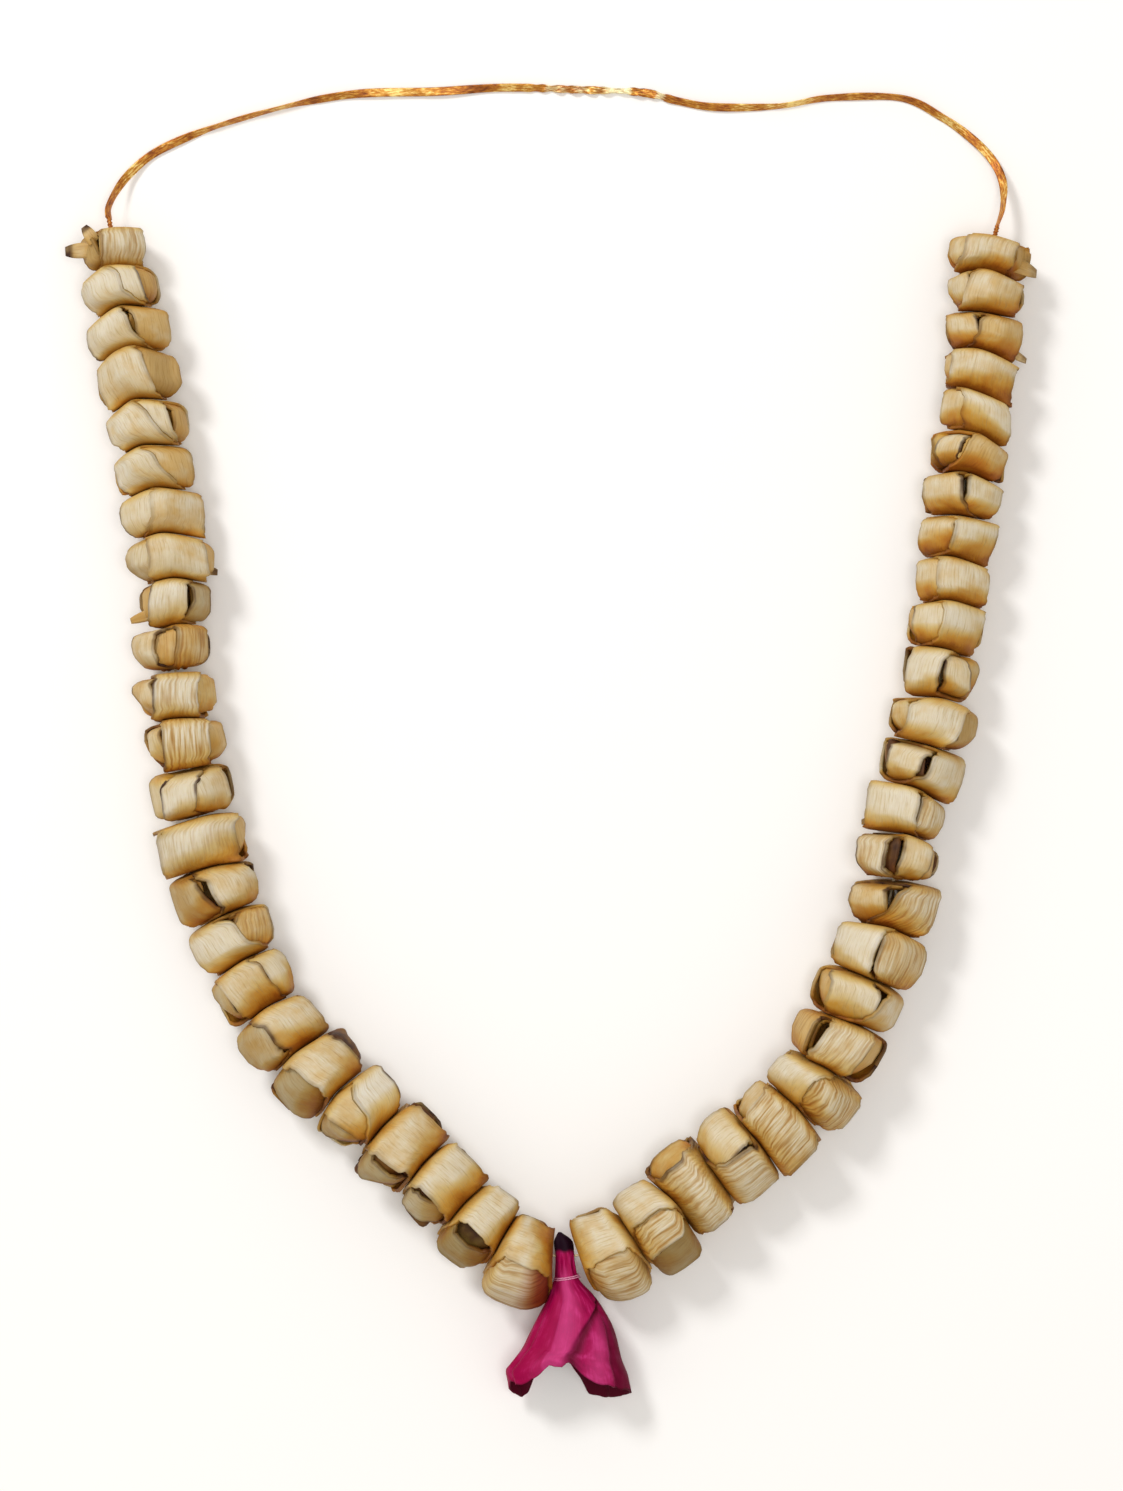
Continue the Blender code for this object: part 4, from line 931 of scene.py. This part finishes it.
def bead_sheet(local, closed, u, v, values, stack, half_length, ends):
    """The points, quads, UV and numbers of a sheet of a bead, its front and then its back.

    The front is given in (along, inward, up), and `stack` is extra thickness. Along the thread the sheet is
    laid between the bead's two end faces, in the share that along is of the bead's length.
    """
    rows, columns = local.shape[:2]
    thickness = np.broadcast_to(SHAVING_THICKNESS + stack, (rows, columns))[:, :, None]
    back = local - normals_of(local, closed) * thickness
    both = np.concatenate([local, back]).reshape(-1, 3)
    share = (both[:, 0] / half_length + 1) / 2
    low, high = (on_face(face, both[:, 1], both[:, 2]) for face in ends)
    placed = thread_space.place(low + (high - low) * share, both[:, 1], both[:, 2])
    placed[:, 2] = np.maximum(placed[:, 2], BEAD_LOWEST)
    faces = sheet_faces(rows, columns, closed)
    uv = np.tile(np.stack(np.broadcast_arrays(u, v), axis=-1).reshape(-1, 2), (2, 1))
    uv[rows * columns :, 1] += thickness.ravel()
    period = u.max() * rows / (rows - 1) if closed else math.inf
    front = np.stack([np.broadcast_to(values[key], (rows, columns)).ravel() for key in VALUE_NAMES])
    inner = front.copy()
    inner[0] += BACK_PAINTED_SHADE
    return placed, faces, corner_uv(uv, faces, period), np.concatenate([front, inner], axis=1)


def make_bead(number, corners, ends, draw):
    """One bead: its turns, fitted to the reach of its solid and laid between its two end faces.

    A turn has golden painted shade towards its two ends, where it goes down into the creases between beads,
    and past its crease on the side that lies lower in the view. Its edges are brown with a painted shadow
    line, unevenly by a sine round it, and thicker by the shavings that lie under it.
    """
    low_end, high_end = (face[0][0] for face in ends)
    half_length = (high_end - low_end) / 2
    height = thread_space.at((low_end + high_end) / 2, thread_space.line)[2]
    side = 1 if number < FIRST_RIGHT else -1
    painted_glow = looked_up(number, LOWER_SIDE_PAINTED_GLOW)
    surfaces = []
    for layer, shape in enumerate(BEADS[number]):
        varied = {"reach": LAYER_REACH[layer], "ends": LAYER_ENDS[layer], **shape}
        varied["at"] += draw.uniform(-2, 2)
        varied["reach"] *= draw.uniform(0.97, 1.03)
        surfaces.append(turn_surface(varied, *TURN_GRIDS[layer], side, draw))
    every = np.concatenate([grid.reshape(-1, 3) for grid, *_ in surfaces])
    reach_out = [(corners[:, 1].max(), -corners[:, 1].min()), (corners[:, 2].max(), height - 0.1 * MM)]
    laid, sheets = [], []
    for layer, (shape, (grid, angle, v, past)) in enumerate(zip(BEADS[number], surfaces)):
        local = grid.copy()
        for axis, (high, low) in zip((1, 2), reach_out):
            high = high / every[:, axis].max()
            low = low / -every[:, axis].min()
            local[:, :, axis] *= np.where(local[:, :, axis] > 0, high, low)
        local[:, :, 0] *= half_length - BEAD_GAP / 2
        for outer in laid:
            local = tuck_under(local, outer)
        laid.append(local)
        u = lengths_along(local[:, local.shape[1] // 2])[:, None]
        width = np.linalg.norm(local[local.shape[0] // 2, -1] - local[local.shape[0] // 2, 0])
        # Painted golden shade: towards the turn's ends, past its crease on the lower side, deeper in the
        # bead, and where the turn is given as lying deep.
        pinched = ramp(np.abs(grid[:, :, 0]), 0.55, 0.45) ** 1.5
        painted_lower_glow = painted_glow * (0.2 * ramp(past, 0, 0.12) + 0.9 * ramp(past, 0, 1))
        # Brown cut edges with a painted shadow line along them; a turn painted dark as shade is brown all
        # over.
        uneven = 0.75 + 0.25 * np.sin(3 * angle + draw.uniform(0, 2 * math.pi))
        edge = ramp(np.abs(v), 0.82, 0.12) ** 1.5 * np.where(v < 0, *shape["rims"])
        values = {
            "crease": 0.5 * pinched + painted_lower_glow + LAYER_PAINTED_SHADE[layer] + shape["deep"],
            "rim": np.maximum(edge * uneven, shape["dark"]),
            "ridged": shape["ridged"] * (1 - 0.4 * pinched),
            "olive": shape["olive"],
            "stain": shape["stain"] * np.clip(0.1 + 1.6 * grid[:, :, 0], 0, 1),
            "tone": shape["tone"],
        }
        stack = EDGE_STACK * ramp(np.abs(v), 0.8, 0.2)
        sheets.append((local, True, u, v * width / 2, values, stack))
    for bead, start, end, width, bend, dark in LOOSE_ENDS:
        if bead == number:
            local, tip = loose_end(start, end, width, bend, dark)
            u = np.linspace(0, LOOSE_END_UV, LOOSE_END_GRID[0])[:, None]
            v = np.linspace(-width / 2, width / 2, LOOSE_END_GRID[1])[None, :] * MM
            values = {"crease": 0.15, "rim": tip, "ridged": 0.2, "olive": 0.0, "stain": 0.0, "tone": 0.5}
            sheets.append((local, False, u, v, values, 0.0))
    parts, count = [], 0
    for sheet in sheets:
        points, faces, uv, values = bead_sheet(*sheet, half_length, ends)
        parts.append((points, faces + count, uv + np.array([number, count]) * UV_SHIFT, values))
        count += len(points)
    points, faces, uv, values = zip(*parts)
    made = surface_piece(
        BEAD_NAMES[number] + "_shaving",
        np.concatenate(points),
        np.concatenate(faces),
        shaving,
        np.concatenate(uv),
        zip(VALUE_NAMES, np.clip(np.concatenate(values, axis=1), 0, 1)),
    )
    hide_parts(BEAD_NAMES[number])
    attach(made, "root")


bead_corners = [thread_space.measure(node_points(name)) for name in BEAD_NAMES]
draw = np.random.default_rng(7)
bends = np.array(CREASE_BENDS)
for first, last in ((0, FIRST_RIGHT), (FIRST_RIGHT, len(BEAD_NAMES))):
    strand = [None, *bead_corners[first:last], None]
    faces = []
    for k, (lower, higher) in enumerate(zip(strand, strand[1:]), start=first):
        k = min(k, FIRST_RIGHT - 0.1) if last == FIRST_RIGHT else k
        steepness = np.interp(k, bends[:, 0], bends[:, 1]) + draw.uniform(-CREASE_VARIES, CREASE_VARIES)
        peak = np.interp(k, bends[:, 0], bends[:, 2]) * MM + draw.uniform(-PEAK_VARIES, PEAK_VARIES)
        faces.append((shared_face(lower, higher), steepness, peak))
    for k in range(first, last):
        make_bead(k, bead_corners[k], faces[k - first : k - first + 2], draw)

# The flower.
# A bunch of thin shavings dyed magenta, gathered and tied at a neck that the bead thread goes through. The
# dye has gone almost black at the gathered tip; below the tie it opens into a folded bell with two lobes.
FLOWER_ROOT = (3.94 * MM, -157.44 * MM, 15.5 * MM)
# Down from the root, reach to the left and to the right, and half the height, all in mm.
FLOWER_SECTIONS = [
    (-10.6, 3.0, -2.0, 0.6), (-7.6, 4.2, 1.6, 2.4), (-3.8, 4.0, 2.4, 3.0), (0.0, 3.8, 2.8, 3.3),
    (3.4, 4.0, 3.4, 3.7), (5.4, 4.2, 4.2, 4.0), (7.4, 5.0, 5.6, 4.8), (12.5, 6.8, 10.2, 6.8),
    (20.4, 11.0, 15.0, 9.2), (28.4, 14.9, 17.6, 10.8), (35.0, 18.6, 18.8, 12.0), (41.0, 21.4, 20.8, 12.8),
    (48.0, 20.6, 21.8, 12.2),
]
FLOWER_STEP = 0.55 * MM
FLOWER_COLUMNS = 168
FLOWER_LOWEST = 0.1 * MM
INSIDE_LOWEST = 0.15 * MM
PETAL_THICKNESS = 0.5 * MM
# How far down from the root the tie ends, the hollow begins and the mouth is.
BELOW_TIE = 6 * MM
HOLLOW_FROM = 8 * MM
MOUTH_AT = 48 * MM
# The mouth's edge, above and below: places across it, and how far it is drawn back there, in mm. It arches
# between two lobes, and the upper side is shorter, so that the dark inside shows under it.
UPPER_EDGE = [
    (-21.5, 7.2), (-18.8, 7.0), (-15.9, 6.6), (-13.4, 7.6), (-11.7, 8.8), (-9.2, 11.0), (-7.1, 13.2),
    (-5.9, 14.4), (-3.8, 13.6), (-1.7, 13.2), (0.3, 15.0), (2.1, 13.6), (4.6, 11.4), (7.1, 9.8), (9.6, 8.0),
    (12.6, 7.0), (15.5, 6.2), (18.8, 4.8), (22.0, 3.6),
]
LOWER_EDGE = [
    (-21.5, 5.8), (-18.8, 1.6), (-15.9, 0.0), (-13.4, 1.7), (-11.7, 6.0), (-9.2, 11.0), (-7.1, 14.0),
    (-3.8, 15.5), (0.0, 13.5), (2.1, 9.8), (4.6, 6.3), (6.3, 2.8), (7.6, 0.3), (12.6, 0.0), (19.0, 0.4),
    (22.0, 2.4),
]
EDGE_START = 29 * MM
# The folds: at the neck and at the mouth the angle of each, from the right over the top, in degrees, and
# the power of the distance from the mouth by which it goes from one to the other; its depth as a part of
# the radius, its width in radians, and how far its left side stands over its right.
FOLDS = [
    (-92, 88, 5, 0.12, 0.085, 0.035), (112, 131, 1.2, 0.07, 0.09, -0.05), (150, 158, 1.2, 0.05, 0.1, 0.0),
    (24, 34, 1.2, 0.06, 0.09, 0.02), (72, 108, 1.2, 0.025, 0.12, 0.0), (205, 212, 1.2, 0.06, 0.12, 0.0),
    (252, 268, 1.2, 0.08, 0.14, 0.04), (316, 322, 1.2, 0.07, 0.12, 0.0),
]
DARK_FOLD = 0
TIP_ENDS = -3.6 * MM
DROOP_POWER = 1.4
FLOWER_UV_RADIUS = 20 * MM


def hump(x):
    """exp(-x^2): 1 at 0 and falling away on both sides."""
    return np.exp(-(x**2))


def opened_by(down):
    """How far the bell has opened: 0 at the tie and 1 at the mouth."""
    return ramp(down, BELOW_TIE, MOUTH_AT - BELOW_TIE)


def from_fold(fold, down, angle):
    """The angle from a fold, which goes from its place at the neck to that at the mouth by its power."""
    at_neck, at_mouth, power = fold[:3]
    centre = np.radians(at_mouth - (at_mouth - at_neck) * (1 - opened_by(down)) ** power)
    return np.angle(np.exp(1j * (angle - centre)))


def flower_points(rows, angle, spread):
    """The bell's points and the down and across of each, for sections (rows) and angles round it.

    A section is half an ellipse to each side, its radius less depth exp(-(a / w)^2) at each fold, where a
    is the angle from the fold, and raised on the fold's left by its lip. Small pleats gather the tip. The
    rows near the mouth are drawn back, each by its part of the way to the mouth.
    """
    down, left, right, half_height = (rows[:, k : k + 1] for k in range(4))
    grown = opened_by(down)
    opened = ramp(down, BELOW_TIE, 8 * MM)
    radius = 1 + 0.03 * grown * np.cos(5 * angle + 0.6) + 0.005 * opened * np.sin(13 * angle + 20 * grown)
    for fold in FOLDS:
        depth, width, lip = fold[3:]
        away = from_fold(fold, down, angle)
        radius = radius - opened * depth * hump(away / width)
        radius = radius + opened * lip * hump((away - 1.6 * width) / (1.5 * width))
    gathered = np.clip(1 - np.abs(down - 1 * MM) / (7 * MM), 0, 1)
    radius = radius - 0.07 * gathered * np.cos(9 * angle + 90 * down)
    radius = radius + 0.1 * ramp(-down, 2 * MM, 5 * MM) * np.cos(4 * angle + 1.0)
    across = (right - left) / 2 + ((left + right) / 2 * radius + spread) * np.cos(angle)
    up = (half_height * radius + spread) * np.sin(angle)
    above, below = (looked_up(across, np.array(edge) * MM) for edge in (UPPER_EDGE, LOWER_EDGE))
    drawn = below + (above - below) * np.clip(0.5 + 2.5 * np.sin(angle), 0, 1)
    drawn = drawn + 0.25 * MM * np.sin(9 * angle) + 0.12 * MM * np.sin(23 * angle)
    near_mouth = ramp(down, EDGE_START, MOUTH_AT - EDGE_START)
    return np.stack(np.broadcast_arrays(across, drawn * near_mouth - down, up), axis=-1)


def set_at_root(points, fall):
    """The flower's points at its root, falling towards the mouth by fall (down / length) ^ 1.4."""
    placed = points + np.array(FLOWER_ROOT)
    placed[..., 2] -= fall * np.clip(-points[..., 1] / MOUTH_AT, 0, 1) ** DROOP_POWER
    placed[..., 2] = np.maximum(placed[..., 2], FLOWER_LOWEST)
    return placed


def flower_values(down, angle):
    """Where the dye has painted shade, is reddened, has painted highlights and is nearly black, from 0 to 1.

    It has painted shade along one fold, on the right side and at the mouth's edge, is redder on the left,
    and has painted highlights down the tops of two folds: each is exp(-(a / w)^2) of the angle from a line
    that turns towards the mouth.
    """
    grown = opened_by(down)
    in_fold = hump((from_fold(FOLDS[DARK_FOLD], down, angle) + 0.05) / 0.12) * 0.85
    shaded = in_fold * ramp(down, 8 * MM, 4 * MM)
    right_shade = 0.75 * np.clip((0.85 - np.abs(angle)) / 0.35, 0, 1) * np.clip(grown * 2.5, 0, 1)
    mouth_edge = 0.4 * (np.arange(len(down))[:, None] >= len(down) - 2)
    reddened = (np.abs(angle - 2.75) < 0.75) * ramp(down, 4 * MM, 8 * MM) * 0.8
    # Painted highlights down the tops of two folds.
    highlight_left_fold = hump((angle - np.radians(96 + 10 * grown)) / 0.36) * ramp(down, 0, 5 * MM)
    highlight_right_fold = hump((angle - np.radians(38 + 24 * grown)) / 0.25) * np.clip(3 * grown - 0.5, 0, 1)
    return {
        "shaded": shaded + right_shade + mouth_edge,
        "reddened": 0.7 * reddened,
        "painted_highlight": 0.52 * np.maximum(highlight_left_fold, 0.8 * highlight_right_fold),
        "tipped": np.clip((TIP_ENDS - down) / (1.2 * MM) + 0.15 * np.sin(5 * angle), 0, 1),
    }


sections = smooth_line(np.array(FLOWER_SECTIONS) * MM, FLOWER_STEP)
angle = ring(FLOWER_COLUMNS)[None, :] - math.pi / 2
outside = flower_points(sections, angle, 0.0)
# The mouth falls until its lowest point touches the surface.
fall = FLOWER_ROOT[2] + outside[:, :, 2].min()
placed = set_at_root(outside, fall)
rows, columns = outside.shape[:2]
down = np.broadcast_to(sections[:, :1], (rows, columns))
hollow = int(np.argmax(sections[:, 0] > HOLLOW_FROM))
around_way = np.roll(placed, -1, axis=1) - np.roll(placed, 1, axis=1)
outward = unit(np.cross(around_way, np.gradient(placed, axis=0)))
inside = (placed - outward * PETAL_THICKNESS)[hollow:]
inside[:, :, 2] = np.maximum(inside[:, :, 2], INSIDE_LOWEST)
inner_rows = len(inside)
count = rows * columns
k = np.arange(columns)
k2 = (k + 1) % columns
mouth_outer = count - columns
mouth_inner = count + (inner_rows - 1) * columns
faces = np.concatenate(
    [
        grid_faces(rows, columns, round_columns=True)[:, ::-1],
        grid_faces(inner_rows, columns, round_columns=True) + count,
        np.stack([mouth_outer + k, mouth_outer + k2, mouth_inner + k2, mouth_inner + k], axis=1),
        end_faces(0, columns, True),
        end_faces(0, columns, False) + count,
    ]
)
points = np.concatenate([placed.reshape(-1, 3), inside.reshape(-1, 3)])
values = {}
# The inside faces of the bell get full painted shade and no other mark.
for key, value in flower_values(down, angle).items():
    front = np.clip(np.broadcast_to(value, (rows, columns)), 0, 1).ravel()
    values[key] = np.concatenate([front, np.full(inner_rows * columns, float(key == "shaded"))])
flower_uv = np.stack(np.broadcast_arrays(angle * FLOWER_UV_RADIUS, down), axis=-1)
uv = np.concatenate([flower_uv.reshape(-1, 2), flower_uv[hollow:].reshape(-1, 2)])
uv = corner_uv(uv, faces, 2 * math.pi * FLOWER_UV_RADIUS)

# Planed shaving dyed magenta: satin, darker along its grain where more dye went in, redder on the left and
# nearly black at the tip. It has painted highlights down the tops of two folds and painted shade along a
# fold, on its right side, at the mouth's edge and inside. It lets a little red light through.
FIBRE_SPACING = 0.7 * MM
BLOTCH_SIZE = 6 * MM
dyed, tree, shader = new_material("dyed_sandalwood")
place = node(tree, "UVMap", uv_map="surface")
lengthwise = node(tree, "Mapping", {"Vector": place, "Scale": (1, 1 / 10, 1)})
fibres = node(
    tree, "TexNoise", {"Vector": lengthwise, "Scale": 1 / FIBRE_SPACING, "Detail": 3.0, "Roughness": 0.6}
)
blotches = node(tree, "TexNoise", {"Vector": place, "Scale": 1 / BLOTCH_SIZE, "Detail": 3.0})
strength = node(tree, "Math", {0: fibres, 1: 0.55, 2: blotches}, operation="MULTIPLY_ADD")
stops = [(0.5, "#7E0038"), (0.78, "#980646"), (1.0, "#B62C6C")]
colour = node(tree, "ValToRGB", {"Fac": strength}, stops=stops)
# The red and the nearly black are dye; the pale bands are painted highlights and the shaded places painted
# shade.
dye_and_painted_light_tints = {"painted_highlight": "#CC4886", "reddened": "#92003A", "shaded": "#4E061C", "tipped": "#1C0816"}
for name, tint in dye_and_painted_light_tints.items():
    share = node(tree, "Attribute", output="Fac", attribute_name=name)
    colour = node(tree, "Mix", {0: share, 6: colour, 7: linear(tint)}, 2, data_type="RGBA")
bump = node(tree, "Bump", {"Height": fibres, "Strength": 0.4, "Distance": 0.12 * MM})
feed(tree, shader, {"Base Color": colour, "Roughness": 0.55, "Specular IOR Level": 0.06, "Normal": bump})
red_first = (1.0, 0.15, 0.3)
feed(tree, shader, {"Subsurface Weight": 0.02, "Subsurface Radius": red_first, "Subsurface Scale": 1.0 * MM})

flower = surface_piece("flower_shavings", points, faces, dyed, uv, values)
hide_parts("flower_bell")
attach(flower, "root")

# The flower's tie.
# Two turns of pale pink sewing thread wound tight round the flower just below the bead thread, rising to
# the right, with the two plies of the thread to be seen.
TIE_DOWN = (4.4 * MM, 5.7 * MM)
TIE_TURNS = 2.2
TIE_RADIUS = 0.24 * MM
TIE_SLANT = 0.12
TIE_SIDES = 10
TIE_POINTS = 150
TIE_START = -1.2
# How far the thread's own twist turns along the whole tie, in radians.
TIE_TWIST = 260

t = np.linspace(0, 1, TIE_POINTS)
angle = t * TIE_TURNS * 2 * math.pi + TIE_START
at = TIE_DOWN[0] + (TIE_DOWN[1] - TIE_DOWN[0]) * t
tied = np.stack([np.interp(at, sections[:, 0], sections[:, k]) for k in range(4)], axis=1)
middle = flower_points(tied, angle[:, None], TIE_RADIUS * 0.9)[:, 0]
middle[:, 1] += TIE_SLANT * middle[:, 0]
plies = 0.86 + 0.14 * np.cos(2 * ring(TIE_SIDES) - t[:, None] * TIE_TWIST)
points, faces, uv = tube(set_at_root(middle, fall), (0, 1, 0), TIE_RADIUS * plies, TIE_RADIUS)

# Pink sewing thread: spun, matt, paler and darker in small patches.
sewing, tree, shader = new_material("pink_sewing_thread")
place = node(tree, "TexCoord", output="Object")
spun = node(tree, "TexNoise", {"Vector": place, "Scale": 1 / (0.3 * MM), "Detail": 2.0})
pink = node(tree, "ValToRGB", {"Fac": spun}, stops=[(0.35, "#C85A8C"), (0.65, "#E6A4C0")])
feed(tree, shader, {"Base Color": pink, "Roughness": 0.8})
tie = surface_piece("flower_tie_thread", points, faces, sewing, uv[faces])
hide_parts("flower_tie")
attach(tie, "root")
